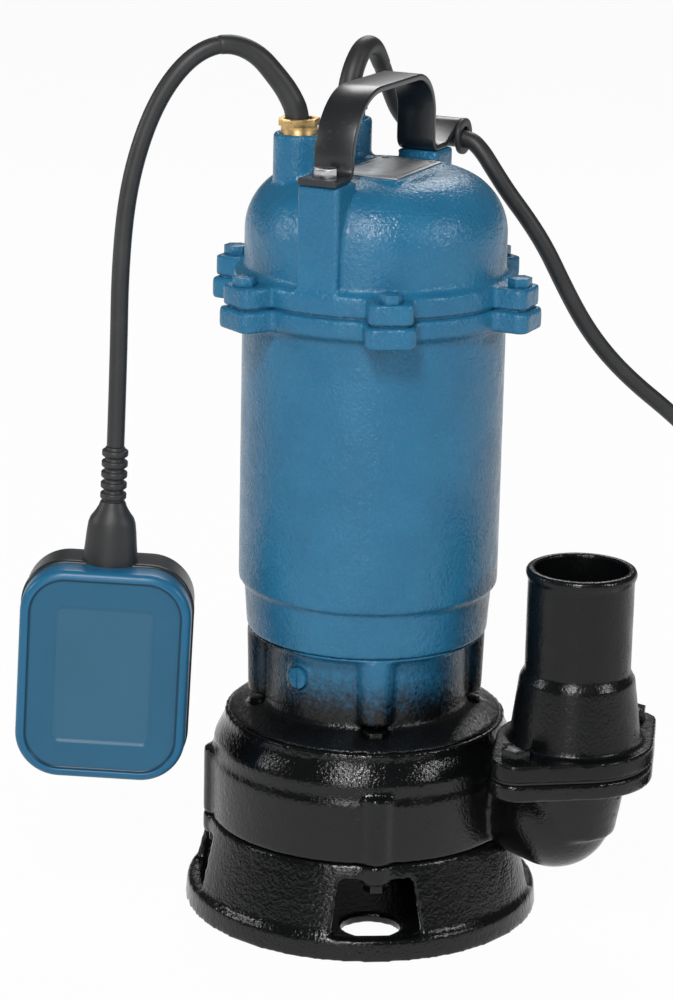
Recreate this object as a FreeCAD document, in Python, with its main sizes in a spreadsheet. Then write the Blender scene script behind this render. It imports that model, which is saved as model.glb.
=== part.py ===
"""Submersible sump pump with a hanging float switch, a carrying handle and a coiled power cable.

Millimetres, +Z up. The origin is the centre of the stand's underside, on the shaft's axis.
The front window of the stand, the front cover bolt and the front rib face -Y.
The discharge elbow lies at the front right, the float hangs at the left.
"""
import FreeCAD, Part
import math
import os
from types import SimpleNamespace

import Sketcher

Vector = FreeCAD.Vector
Rotation = FreeCAD.Rotation
UP = Vector(0, 0, 1)

# Every driving size in millimetres, or degrees where the name says angle.
SIZES = {
    # Base stand
    "stand_height": 44.0,
    "stand_floor": 5.0,
    "stand_rim_radius": 85.5,
    "stand_rim_height": 10.0,
    "stand_rim_draft": 1.0,
    "stand_rim_step": 1.5,
    "skirt_foot_inset": 3.2,
    "skirt_wall": 5.0,
    "deck_thickness": 6.0,
    "deck_bore_radius": 30.0,
    "floor_hole_radius": 14.0,
    "floor_hole_circle": 52.0,
    "window_sill": 10.5,
    "window_height": 26.5,
    "window_foot_width": 43.0,
    "window_head_width": 34.0,
    "boss_drop": 10.0,
    # Columns and bolts between the stand and the casing
    "column_radius": 8.0,
    "column_reach": 69.3,
    "column_height": 33.0,
    "stand_thread_depth": 8.0,
    # Pump casing
    "casing_height": 52.0,
    "casing_floor": 6.0,
    "casing_roof": 10.0,
    "casing_band_radius": 73.8,
    "casing_band_height": 29.0,
    "casing_belly_radius": 72.4,
    "casing_belly_height": 38.0,
    "shoulder_radius": 67.4,
    "shoulder_edge": 4.0,
    "cavity_radius": 60.0,
    "inlet_radius": 22.0,
    "casing_bore_radius": 44.5,
    # Discharge branch, elbow and flanges
    "branch_angle": -49.0,
    "branch_offset": 35.7,
    "branch_reach": 102.2,
    "branch_rise": 22.5,
    "branch_root_radius": 24.0,
    "branch_root_start": 28.0,
    "branch_throat_radius": 16.0,
    "branch_throat_start": 10.0,
    "elbow_radius": 28.0,
    "elbow_back": 10.6,
    "elbow_drop": 5.7,
    "elbow_bore_radius": 19.0,
    "riser_foot_radius": 20.5,
    "riser_foot_drop": 12.5,
    "riser_head_radius": 26.5,
    "pipe_bore_radius": 21.7,
    "flange_rise": 23.0,
    "flange_radius": 37.0,
    "flange_thickness": 8.5,
    "ear_radius": 12.0,
    "ear_reach": 41.5,
    "flange_gasket_thickness": 1.0,
    "flange_gasket_inset": 1.2,
    # Hose tail
    "tail_cone_radius": 31.0,
    "tail_neck_radius": 27.0,
    "tail_cone_height": 31.0,
    "tail_seat_radius": 25.9,
    "tail_seat_height": 2.0,
    "tail_tube_radius": 24.8,
    "tail_tube_height": 45.5,
    "tail_bead_radius": 25.9,
    "tail_bead_height": 5.0,
    # Oil chamber
    "oil_height": 42.7,
    "oil_radius": 48.5,
    "oil_flange_radius": 66.2,
    "oil_flange_edge": 1.0,
    "oil_base_radius": 50.0,
    "oil_base_height": 5.5,
    "oil_base_fillet": 1.5,
    "oil_shoulder_radius": 57.0,
    "oil_shoulder_height": 1.2,
    "oil_shoulder_drop": 4.0,
    "oil_spigot": 5.0,
    "oil_floor": 7.0,
    "oil_cavity_radius": 42.5,
    "oil_roof": 8.0,
    "rib_radius": 8.9,
    "rib_foot_radius": 7.9,
    "rib_reach": 48.4,
    "rib_clearance": 3.0,
    "spot_face_radius": 6.3,
    "foot_radius": 10.1,
    "foot_reach": 50.5,
    "foot_height": 2.2,
    "oil_plug_angle": -135.1,
    "oil_plug_height": 27.1,
    "oil_pad_radius": 7.2,
    "oil_pad_reach": 50.0,
    "oil_plug_radius": 5.0,
    "oil_plug_proud": 0.8,
    "oil_plug_length": 8.0,
    "oil_plug_bore_depth": 12.0,
    "oil_plug_slot": 1.4,
    # Motor housing
    "housing_height": 162.3,
    "housing_foot_radius": 57.3,
    "housing_band_radius": 58.9,
    "housing_band_height": 22.5,
    "housing_band_step": 1.0,
    "housing_radius": 61.6,
    "housing_bore_radius": 56.4,
    "housing_spigot_radius": 52.0,
    "housing_spigot": 8.0,
    "housing_flange_radius": 66.2,
    "housing_flange_height": 10.0,
    "housing_flange_chamfer": 1.5,
    "lower_lobe_half_width": 11.7,
    "lower_lobe_reach": 80.6,
    "lobe_corner": 4.5,
    "cover_bolt_circle": 72.5,
    "housing_gasket_thickness": 1.0,
    "housing_gasket_inset": 1.6,
    "gasket_lobe_root": 3.2,
    # Top cover
    "cover_flange_height": 9.4,
    "cover_flange_radius": 65.6,
    "cover_flange_slope": 1.5,
    "cover_radius": 61.0,
    "cover_wall": 5.0,
    "cover_height": 57.0,
    "dome_corner": 29.0,
    "upper_lobe_half_width": 10.5,
    "upper_lobe_reach": 79.2,
    "seat_rise": 1.0,
    "seat_length": 56.0,
    "seat_width": 34.0,
    "seat_shift": 7.5,
    "seat_back": -4.0,
    "handle_angle": 60.0,
    "handle_boss_width": 20.5,
    "handle_boss_inner": 45.0,
    "handle_boss_outer": 64.5,
    "handle_boss_rise": 1.6,
    "tower_radius": 11.8,
    "tower_side": 28.0,
    "tower_half_pitch": 26.0,
    "tower_rise": 17.9,
    "tower_bore_radius": 8.5,
    # Handle strap
    "strap_thickness": 3.0,
    "strap_width": 19.0,
    "strap_rise": 39.5,
    "strap_front_leg": 49.0,
    "strap_rear_leg": 44.7,
    "strap_foot_reach": 66.0,
    "strap_front_corner": 31.0,
    "strap_rear_corner": 21.5,
    "strap_foot_corner": 3.5,
    "strap_lip_start": 58.5,
    "strap_lip_length": 16.2,
    "strap_lip_angle": 30.0,
    "strap_curl_sweep": 150.0,
    "front_bolt_reach": 57.0,
    "rear_bolt_reach": 53.2,
    # Nameplate
    "plate_length": 52.0,
    "plate_width": 31.0,
    "plate_thickness": 0.6,
    "rivet_radius": 1.2,
    "rivet_head_radius": 2.0,
    "rivet_head_height": 0.7,
    "rivet_inset": 3.5,
    "rivet_depth": 4.0,
    # Threaded fasteners
    "small_bolt_radius": 3.0,
    "small_head_flats": 9.8,
    "small_head_height": 4.0,
    "large_bolt_radius": 4.0,
    "large_head_flats": 13.0,
    "large_head_height": 5.3,
    "thread_gap": 0.05,
    "bolt_clearance": 0.3,
    "cover_bolt_length": 17.0,
    "casing_bolt_length": 14.0,
    "handle_bolt_length": 15.0,
    # Rotor
    "shaft_thread_radius": 5.0,
    "shaft_impeller_radius": 7.0,
    "shaft_seal_radius": 8.0,
    "shaft_lower_radius": 8.5,
    "shaft_core_radius": 11.0,
    "shaft_upper_radius": 7.5,
    "shaft_thread_length": 10.0,
    "impeller_radius": 42.0,
    "impeller_plate": 5.0,
    "impeller_hub_radius": 13.0,
    "impeller_vane_height": 13.0,
    "impeller_vane_thickness": 4.0,
    "impeller_roof_gap": 6.0,
    "impeller_nut_height": 6.0,
    "impeller_nut_flats": 16.0,
    "key_width": 4.0,
    "key_depth": 2.5,
    "key_stand": 1.5,
    "key_gap": 0.03,
    "rotor_radius": 29.5,
    "rotor_length": 70.0,
    "rotor_rise": 46.0,
    "end_ring_inner": 19.0,
    "end_ring_height": 8.0,
    "air_gap": 0.5,
    "winding_height": 16.0,
    "winding_inner": 33.0,
    "winding_outer": 51.0,
    "stator_gap": 0.05,
    # Bearings
    "lower_bearing_outer": 20.0,
    "lower_bearing_width": 12.0,
    "lower_bearing_ball": 3.4,
    "upper_bearing_outer": 17.5,
    "upper_bearing_width": 11.0,
    "upper_bearing_ball": 2.9,
    "race_share": 0.29,
    "groove_gap": 0.1,
    "cage_half_height": 4.6,
    "cage_half_width": 1.0,
    "cage_pocket_gap": 0.35,
    "press_gap": 0.01,
    # Bearing bracket, wave washer
    "bracket_radius": 56.2,
    "bracket_plate": 4.0,
    "bracket_drop": 6.0,
    "bracket_hub_wall": 4.5,
    "bracket_hole_radius": 7.0,
    "bracket_hole_circle": 40.0,
    "wave_washer_thickness": 1.2,
    # Seals
    "seat_outer_radius": 13.0,
    "seat_inner_radius": 9.0,
    "seat_height": 8.0,
    "face_height": 5.0,
    "face_outer_radius": 12.5,
    "bellows_height": 15.0,
    "bellows_outer_radius": 15.0,
    "bellows_waist_radius": 12.5,
    "lip_seal_outer_radius": 15.0,
    "lip_seal_height": 6.0,
    "lip_seal_gap": 0.05,
    "o_ring_radius": 1.4,
    # Cable glands and cables
    "cable_radius": 4.1,
    "sleeve_base_radius": 5.9,
    "sleeve_tip_radius": 4.6,
    "gland_hex_flats": 17.0,
    "gland_hex_height": 3.4,
    "gland_collar_radius": 8.4,
    "gland_collar_height": 3.2,
    "gland_bore_radius": 6.6,
    "gland_thread_depth": 9.0,
    "seal_ring_height": 8.0,
    # Power cable route's grommet and plug
    "grommet_flange_radius": 8.7,
    "grommet_neck_radius": 5.5,
    "grommet_bore_radius": 4.7,
    "grommet_flange": 2.2,
    "grommet_gap": 0.05,
    "plug_body_radius": 18.5,
    "plug_body_length": 25.0,
    "plug_neck_radius": 9.5,
    "plug_neck_length": 14.0,
    "plug_tail_radius": 6.0,
    "plug_tail_length": 22.0,
    "pin_radius": 2.4,
    "pin_length": 19.0,
    "pin_spacing": 19.0,
    "tie_width": 14.0,
    "tie_thickness": 1.0,
    "tie_gap": 0.8,
    # Coil of the cable's spare length
    "coil_centre_x": 276.0,
    "coil_centre_y": 50.0,
    "coil_inner_radius": 38.0,
    "coil_pitch": 9.1,
    "coil_layer_turns": 3.3125,
    "coil_start_angle": 90.0,
    "coil_floor_gap": 1.1,
    # Capacitor and terminal block under the cover
    "capacitor_radius": 17.0,
    "capacitor_length": 36.0,
    "capacitor_reach": 30.0,
    "terminal_length": 34.0,
    "terminal_width": 16.0,
    "terminal_height": 14.0,
    "terminal_reach": 24.0,
    # Float switch, in its own frame with the bend of the cable relief at the origin
    "float_x": -121.3,
    "float_y": -21.2,
    "float_z": 218.0,
    "float_facing_angle": -5.2,
    "float_tilt_angle": 2.4,
    "float_width": 79.5,
    "float_height": 101.0,
    "float_front_depth": 24.0,
    "float_rear_depth": 17.5,
    "float_corner": 21.0,
    "float_face_inset": 5.0,
    "float_wall": 2.2,
    "float_top_drop": 41.5,
    "float_seam_gap": 0.05,
    "boot_socket_length": 30.0,
    "boot_length": 29.5,
    "boot_root_radius": 13.0,
    "boot_shoulder_radius": 11.0,
    "boot_shoulder_drop": 8.0,
    "boot_tip_radius": 6.0,
    "relief_length": 26.0,
    "relief_core_radius": 4.7,
    "relief_rib_radius": 6.1,
    "relief_rib_width": 3.2,
    "relief_rib_gap": 1.9,
    "relief_ribs": 5,
    "ball_radius": 8.0,
    "ball_travel": 34.0,
    "ball_floor_gap": 0.4,
    "switch_width": 20.0,
    "switch_depth": 10.0,
    "switch_height": 12.0,
    "lever_thickness": 1.0,
    "lever_width": 6.0,
    "lever_length": 24.0,
    "lever_gap": 0.8,
}

COVER_BOLTS = 6
RIBS = 4
VANES = 6
FLOAT_SLEEVE_EDGES = 8
POWER_SLEEVE_EDGES = 10
LOWER_BALLS = 8
UPPER_BALLS = 8

# Centre lines of the two cables, from gland to end, in millimetres.
FLOAT_ROUTE = [
    (-37.25, -8.52, 359.5),
    (-37.25, -8.52, 383.5),
    (-41.9, -9.0, 394.0),
    (-47.6, -9.7, 402.0),
    (-57.5, -11.0, 413.5),
    (-71.0, -13.4, 418.5),
    (-85.5, -15.6, 413.5),
    (-98.5, -17.5, 399.0),
    (-108.5, -19.2, 378.0),
    (-115.8, -20.4, 350.0),
    (-118.9, -20.8, 315.0),
    (-119.4, -21.0, 275.0),
    (-120.7, -21.2, 232.2),
]
POWER_ROUTE = [
    (-11.25, 36.52, 359.5),
    (-11.25, 36.52, 383.0),
    (-10.4, 37.6, 392.0),
    (-8.0, 41.0, 400.5),
    (-3.6, 47.2, 408.0),
    (2.3, 57.2, 408.0),
    (8.0, 67.3, 396.0),
    (13.0, 74.6, 382.0),
    (17.6, 76.6, 372.0),
    (26.0, 71.8, 363.6),
    (49.2, 58.4, 363.6),
    (55.3, 54.3, 358.0),
    (61.0, 51.2, 349.0),
    (68.0, 49.0, 338.5),
    (77.3, 47.9, 326.5),
    (87.0, 48.0, 312.0),
    (96.5, 49.5, 293.5),
    (105.5, 51.8, 277.5),
    (114.5, 54.5, 264.5),
    (125.0, 57.3, 252.3),
    (137.5, 60.2, 240.4),
    (151.5, 63.2, 228.9),
    (165.0, 67.5, 216.5),
    (176.0, 73.5, 200.5),
    (184.0, 80.0, 181.0),
    (190.0, 87.0, 159.5),
    (195.0, 94.0, 136.5),
    (199.3, 100.5, 113.0),
    (203.0, 106.5, 89.5),
    (206.5, 111.3, 67.5),
    (211.0, 115.2, 46.5),
    (219.0, 117.3, 28.0),
    (231.5, 118.0, 13.0),
    (249.5, 117.4, 5.2),
]

doc = FreeCAD.newDocument("SumpPump")
NODES = []


class Size:
    """A number that remembers the cell expression it comes from."""

    def __init__(self, value, text):
        self.value = float(value)
        self.text = text

    def __float__(self):
        return self.value

    def joined(self, sign, other, value):
        return Size(value, "(%s %s %s)" % (self.text, sign, other.text))

    def __add__(self, other):
        other = as_size(other)
        return self.joined("+", other, self.value + other.value)

    def __radd__(self, other):
        return as_size(other) + self

    def __sub__(self, other):
        other = as_size(other)
        return self.joined("-", other, self.value - other.value)

    def __rsub__(self, other):
        return as_size(other) - self

    def __mul__(self, other):
        other = as_size(other)
        return self.joined("*", other, self.value * other.value)

    def __rmul__(self, other):
        return as_size(other) * self

    def __truediv__(self, other):
        other = as_size(other)
        return self.joined("/", other, self.value / other.value)

    def __neg__(self):
        return as_size(0) - self


def as_size(number):
    return number if isinstance(number, Size) else Size(number, repr(float(number)))


def cosine(angle):
    angle = as_size(angle)
    return Size(math.cos(math.radians(angle.value)), "cos(%s)" % angle.text)


def sine(angle):
    angle = as_size(angle)
    return Size(math.sin(math.radians(angle.value)), "sin(%s)" % angle.text)


def root(number):
    return Size(math.sqrt(number.value), "sqrt(%s)" % number.text)


def make_sheet():
    """The spreadsheet of driving sizes, and the same sizes by name."""
    sheet = doc.addObject("Spreadsheet::Sheet", "Sizes")
    for row, (alias, number) in enumerate(SIZES.items(), start=1):
        sheet.set("A%d" % row, alias)
        sheet.set("B%d" % row, str(number))
        sheet.setAlias("B%d" % row, alias)
    doc.recompute()
    return SimpleNamespace(**{alias: Size(sheet.get(alias), "Sizes." + alias) for alias in SIZES})


D = make_sheet()


# Helpers that make bound features

def bind(obj, prop, size):
    """Bind one property of an object to the expression of a size."""
    if isinstance(size, Size):
        obj.setExpression(prop, size.text)
    else:
        setattr(obj, prop, size)


def place(obj, at=(0, 0, 0), axis=UP, angle=0.0):
    """Put an object at a point, turned about an axis; all of them may be bound sizes."""
    obj.Placement = FreeCAD.Placement(Vector(*[float(x) for x in at]), Rotation(axis, float(angle)))
    for key, size in zip("xyz", at):
        if isinstance(size, Size):
            obj.setExpression("Placement.Base." + key, size.text)
    if isinstance(angle, Size):
        obj.setExpression("Placement.Rotation.Angle", angle.text)
    return obj


def polar(radius, angle, z):
    return (as_size(radius) * cosine(angle), as_size(radius) * sine(angle), z)


def primitive(kind, name, at, axis, angle, **sizes):
    obj = doc.addObject("Part::" + kind, name)
    for prop, size in sizes.items():
        bind(obj, prop, size)
    return place(obj, at, axis, angle)


def cylinder(name, radius, height, at=(0, 0, 0), axis=UP, angle=0.0):
    return primitive("Cylinder", name, at, axis, angle, Radius=radius, Height=height)


def cone(name, radius1, radius2, height, at=(0, 0, 0), axis=UP, angle=0.0):
    return primitive("Cone", name, at, axis, angle, Radius1=radius1, Radius2=radius2, Height=height)


def sphere(name, radius, at=(0, 0, 0)):
    return primitive("Sphere", name, at, UP, 0.0, Radius=radius)


def torus(name, radius1, radius2, at=(0, 0, 0)):
    return primitive("Torus", name, at, UP, 0.0, Radius1=radius1, Radius2=radius2)


def box(name, length, width, height, at=(0, 0, 0), axis=UP, angle=0.0):
    return primitive("Box", name, at, axis, angle, Length=length, Width=width, Height=height)


def hexagon(name, flats, height, at=(0, 0, 0), angle=0.0):
    """A hexagonal prism with this distance across its flats."""
    obj = doc.addObject("Part::Prism", name)
    obj.Polygon = 6
    bind(obj, "Circumradius", flats / root(as_size(3)))
    bind(obj, "Height", height)
    return place(obj, at, UP, angle)


def fuse(name, shapes):
    obj = doc.addObject("Part::MultiFuse", name)
    obj.Shapes = shapes
    return obj


def cut(name, base, tools):
    """Base less every tool."""
    obj = doc.addObject("Part::Cut", name)
    obj.Base = base
    obj.Tool = tools[0] if len(tools) == 1 else fuse(name + "_tools", tools)
    return obj


def group(name, shapes):
    """Separate solids that share one node."""
    obj = doc.addObject("Part::Compound", name)
    obj.Links = shapes
    return obj


def node(label, obj):
    """Name an object as one of the pump's pieces."""
    obj.Label = label
    NODES.append(obj)
    return obj


def origin_plane(body, role):
    return [item for item in body.Origin.OriginFeatures if item.Role == role][0]


def sketch_on(body, name, role, height=0.0):
    """A sketch on one of the body's origin planes, lifted by a height."""
    sketch = body.newObject("Sketcher::SketchObject", name)
    sketch.AttachmentSupport = [(origin_plane(body, role), "")]
    sketch.MapMode = "FlatFace"
    sketch.AttachmentOffset = FreeCAD.Placement(Vector(0, 0, float(height)), Rotation())
    if isinstance(height, Size):
        sketch.setExpression("AttachmentOffset.Base.z", height.text)
    return sketch


def arc_middle(start, end, radius):
    """The middle point of the short arc from start to end; a positive radius bulges to the right."""
    chord = end - start
    half = chord.Length / 2
    size = abs(radius)
    sagitta = size - math.sqrt(max(size * size - half * half, 0.0))
    side = Vector(chord.y, -chord.x, 0).normalize() * math.copysign(sagitta, radius)
    return (start + end) * 0.5 + side


def dimension(sketch, kind, name, places, size):
    """One driving constraint of a sketch, bound when its size is."""
    index = sketch.addConstraint(Sketcher.Constraint(kind, *places, float(size)))
    if isinstance(size, Size):
        sketch.renameConstraint(index, name)
        sketch.setExpression("Constraints." + name, size.text)


def draw(sketch, points):
    """A closed outline. Each point is (x, y) or (x, y, radius of the arc to the next point)."""
    corners = [Vector(float(point[0]), float(point[1]), 0) for point in points]
    count = len(points)
    for index, point in enumerate(points):
        start, end = corners[index], corners[(index + 1) % count]
        if len(point) == 3:
            sketch.addGeometry(Part.Arc(start, arc_middle(start, end, float(point[2])), end))
        else:
            sketch.addGeometry(Part.LineSegment(start, end))

    def end_at(edge, corner):
        return 1 if (sketch.getPoint(edge, 1) - corner).Length < 1e-7 else 2

    starts = [end_at(index, corners[index]) for index in range(count)]
    for index, point in enumerate(points):
        before = (index - 1) % count
        link = (before, end_at(before, corners[index]), index, starts[index])
        sketch.addConstraint(Sketcher.Constraint("Coincident", *link))
        dimension(sketch, "DistanceX", "x%d" % index, (-1, 1, index, starts[index]), point[0])
        dimension(sketch, "DistanceY", "y%d" % index, (-1, 1, index, starts[index]), point[1])
    for index, point in enumerate(points):
        if len(point) == 3:
            radius = point[2] if float(point[2]) > 0 else -as_size(point[2])
            dimension(sketch, "Radius", "r%d" % index, (index,), radius)


def revolve(name, points):
    """A body turned about Z from an outline of (radius, height) points."""
    body = doc.addObject("PartDesign::Body", name)
    sketch = sketch_on(body, name + "_outline", "XZ_Plane")
    draw(sketch, points)
    turn = body.newObject("PartDesign::Revolution", name + "_turn")
    turn.Profile = sketch
    turn.ReferenceAxis = (sketch, ["V_Axis"])
    turn.Angle = 360.0
    return body


def polar_copies(body, name, feature, count):
    pattern = body.newObject("PartDesign::PolarPattern", name)
    pattern.Originals = [feature]
    pattern.Axis = (origin_plane(body, "Z_Axis"), [""])
    pattern.Angle = 360.0
    pattern.Occurrences = count
    body.Tip = pattern
    return pattern


def add_pad(body, name, points, low, height, count=1):
    """Add a straight pad on the body, copied around Z."""
    sketch = sketch_on(body, name + "_outline", "XY_Plane", low)
    draw(sketch, points)
    pad = body.newObject("PartDesign::Pad", name)
    pad.Profile = sketch
    bind(pad, "Length", height)
    if count > 1:
        polar_copies(body, name + "_ring", pad, count)
    return pad


def add_holes(body, name, circles, top, depth, count=1):
    """Pocket round holes downwards from a level, copied around Z. Circles are (x, y, radius)."""
    sketch = sketch_on(body, name + "_outline", "XY_Plane", top)
    for index, (x, y, radius) in enumerate(circles):
        centre = Vector(float(x), float(y), 0)
        sketch.addGeometry(Part.Circle(centre, UP, float(radius)))
        dimension(sketch, "DistanceX", "x%d" % index, (-1, 1, index, 3), x)
        dimension(sketch, "DistanceY", "y%d" % index, (-1, 1, index, 3), y)
        dimension(sketch, "Radius", "r%d" % index, (index,), radius)
    hole = body.newObject("PartDesign::Pocket", name)
    hole.Profile = sketch
    bind(hole, "Length", depth)
    if count > 1:
        polar_copies(body, name + "_ring", hole, count)
    return hole


def extrude(name, points, height, at=(0, 0, 0), axis=UP, angle=0.0):
    body = doc.addObject("PartDesign::Body", name)
    add_pad(body, name + "_pad", points, 0.0, height)
    return place(body, at, axis, angle)


def ring(name, outer, inner, height, at=(0, 0, 0)):
    """A plain ring, standing on a level."""
    x, y, z = at
    body = revolve(name, [(inner, 0), (outer, 0), (outer, height), (inner, height)])
    return place(body, (x, y, z))


# Levels and places that several pieces share

quarter_angles = [-90.0, 0.0, 90.0, 180.0]
stand_top = D.stand_height
casing_top = stand_top + D.casing_height
branch_z = stand_top + D.branch_rise
outlet_x = D.branch_reach * cosine(D.branch_angle) - D.branch_offset * sine(D.branch_angle)
outlet_y = D.branch_reach * sine(D.branch_angle) + D.branch_offset * cosine(D.branch_angle)
flange_z = branch_z + D.flange_rise
tail_z = flange_z + D.flange_gasket_thickness
oil_top = casing_top + D.oil_height
oil_roof_z = oil_top - D.oil_roof
oil_floor_top = casing_top + D.oil_floor
housing_top = oil_top + D.housing_height
cover_z = housing_top + D.housing_gasket_thickness
dome_top = cover_z + D.cover_height
seat_z = dome_top + D.seat_rise
strap_z = dome_top + D.handle_boss_rise
tower_top = dome_top + D.tower_rise
lower_bearing_z = oil_top + 1.0
rotor_z = oil_top + D.rotor_rise
bracket_z = housing_top - D.bracket_drop
upper_bearing_z = bracket_z - D.upper_bearing_width
roof_z = casing_top - D.casing_roof
impeller_top = roof_z - D.impeller_roof_gap
impeller_low = impeller_top - D.impeller_plate - D.impeller_vane_height


def along_handle(along, side, z):
    """A point given along the handle's line and to its left."""
    cos_a, sin_a = cosine(D.handle_angle), sine(D.handle_angle)
    return (along * cos_a - side * sin_a, along * sin_a + side * cos_a, z)


float_tower = along_handle(-D.tower_half_pitch, D.tower_side, tower_top)
power_tower = along_handle(D.tower_half_pitch, D.tower_side, tower_top)


# Stand and casing

def base_stand():
    """Conical skirt with four windows, a holed floor and a deck that carries the casing."""
    rim_top = D.stand_rim_height + D.stand_rim_step
    deck_low = stand_top - D.deck_thickness
    top_radius = D.casing_band_radius
    foot_radius = D.stand_rim_radius - D.skirt_foot_inset
    skirt = revolve("stand_skirt", [
        (0, 0), (D.stand_rim_radius, 0), (D.stand_rim_radius - D.stand_rim_draft, D.stand_rim_height),
        (foot_radius, rim_top), (top_radius, stand_top), (D.deck_bore_radius, stand_top),
        (D.deck_bore_radius, deck_low), (top_radius - D.skirt_wall, deck_low),
        (foot_radius - D.skirt_wall, D.stand_floor), (0, D.stand_floor)])
    floor_hole = (0, -D.floor_hole_circle, D.floor_hole_radius)
    add_holes(skirt, "stand_floor_holes", [floor_hole], D.stand_floor, D.stand_floor, RIBS)
    windows = []
    for index, angle in enumerate(quarter_angles):
        wedge = doc.addObject("Part::Wedge", "stand_window_%d" % index)
        for prop, size in (("Xmin", -D.window_foot_width / 2), ("Xmax", D.window_foot_width / 2),
                           ("X2min", -D.window_head_width / 2), ("X2max", D.window_head_width / 2),
                           ("Zmin", D.deck_bore_radius), ("Zmax", D.stand_rim_radius + 5),
                           ("Z2min", D.deck_bore_radius), ("Z2max", D.stand_rim_radius + 5),
                           ("Ymin", as_size(0)), ("Ymax", D.window_height)):
            bind(wedge, prop, size)
        upright = Rotation(UP, angle + 90) * Rotation(Vector(1, 0, 0), 90)
        wedge.Placement = FreeCAD.Placement(Vector(0, 0, float(D.window_sill)), upright)
        wedge.setExpression("Placement.Base.z", D.window_sill.text)
        windows.append(wedge)
    skirt = cut("stand_open", skirt, windows)
    bosses = [cylinder("stand_boss_%d" % i, D.column_radius, D.boss_drop,
                       polar(D.column_reach, angle, stand_top - D.boss_drop))
              for i, angle in enumerate(quarter_angles)]
    solid = fuse("stand_solid", [skirt] + bosses)
    holes = [cylinder("stand_hole_%d" % i, D.small_bolt_radius + D.bolt_clearance, D.boss_drop + 2,
                      polar(D.column_reach, angle, stand_top - D.boss_drop - 1))
             for i, angle in enumerate(quarter_angles)]
    node("base_stand", cut("base_stand", solid, holes))


def bolt(name, radius, flats, head, length, at, downwards=True, angle=0.0):
    """A hex bolt; its head's underside is at the given point and its shank points down or up."""
    x, y, z = at
    if downwards:
        top = hexagon(name + "_head", flats, head, (x, y, z), angle)
        shank = cylinder(name + "_shank", radius, length, (x, y, z - length))
    else:
        top = hexagon(name + "_head", flats, head, (x, y, z - head), angle)
        shank = cylinder(name + "_shank", radius, length, (x, y, z))
    return fuse(name, [top, shank])


def small_bolts(label, reach, angles, z, length, downwards=True):
    """A group of small hex bolts on a circle."""
    bolts = [bolt("%s_%d" % (label, i), D.small_bolt_radius - D.thread_gap, D.small_head_flats,
                  D.small_head_height, length, polar(reach, angle, z), downwards, angle + 90)
             for i, angle in enumerate(angles)]
    node(label, group(label, bolts))


def stand_bolts():
    length = D.boss_drop + D.stand_thread_depth - 0.5
    small_bolts("stand_bolts", D.column_reach, quarter_angles, stand_top - D.boss_drop, length, False)


def flange_outline(radius, ear, reach):
    """Points of a two-eared flange: a circle, two ears on the Y axis and their tangents."""
    share = (radius - ear) / reach
    rise = root(1 - share * share)
    wide_y, wide_x = radius * share, radius * rise
    ear_y, ear_x = reach + ear * share, ear * rise
    return [(wide_x, -wide_y, radius), (wide_x, wide_y), (ear_x, ear_y, ear), (-ear_x, ear_y),
            (-wide_x, wide_y, radius), (-wide_x, -wide_y), (-ear_x, -ear_y, ear), (ear_x, -ear_y)]


def flange(name, thickness, at, inset=0.0):
    """A two-eared flange on the outlet, square to the branch."""
    points = flange_outline(D.flange_radius - inset, D.ear_radius - inset, D.ear_reach)
    return extrude(name, points, thickness, at, UP, D.branch_angle)


def ear_place(side, z):
    """A point on the middle of one ear of the flange, side being 1 or -1."""
    return (outlet_x - side * D.ear_reach * sine(D.branch_angle),
            outlet_y + side * D.ear_reach * cosine(D.branch_angle), z)


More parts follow.
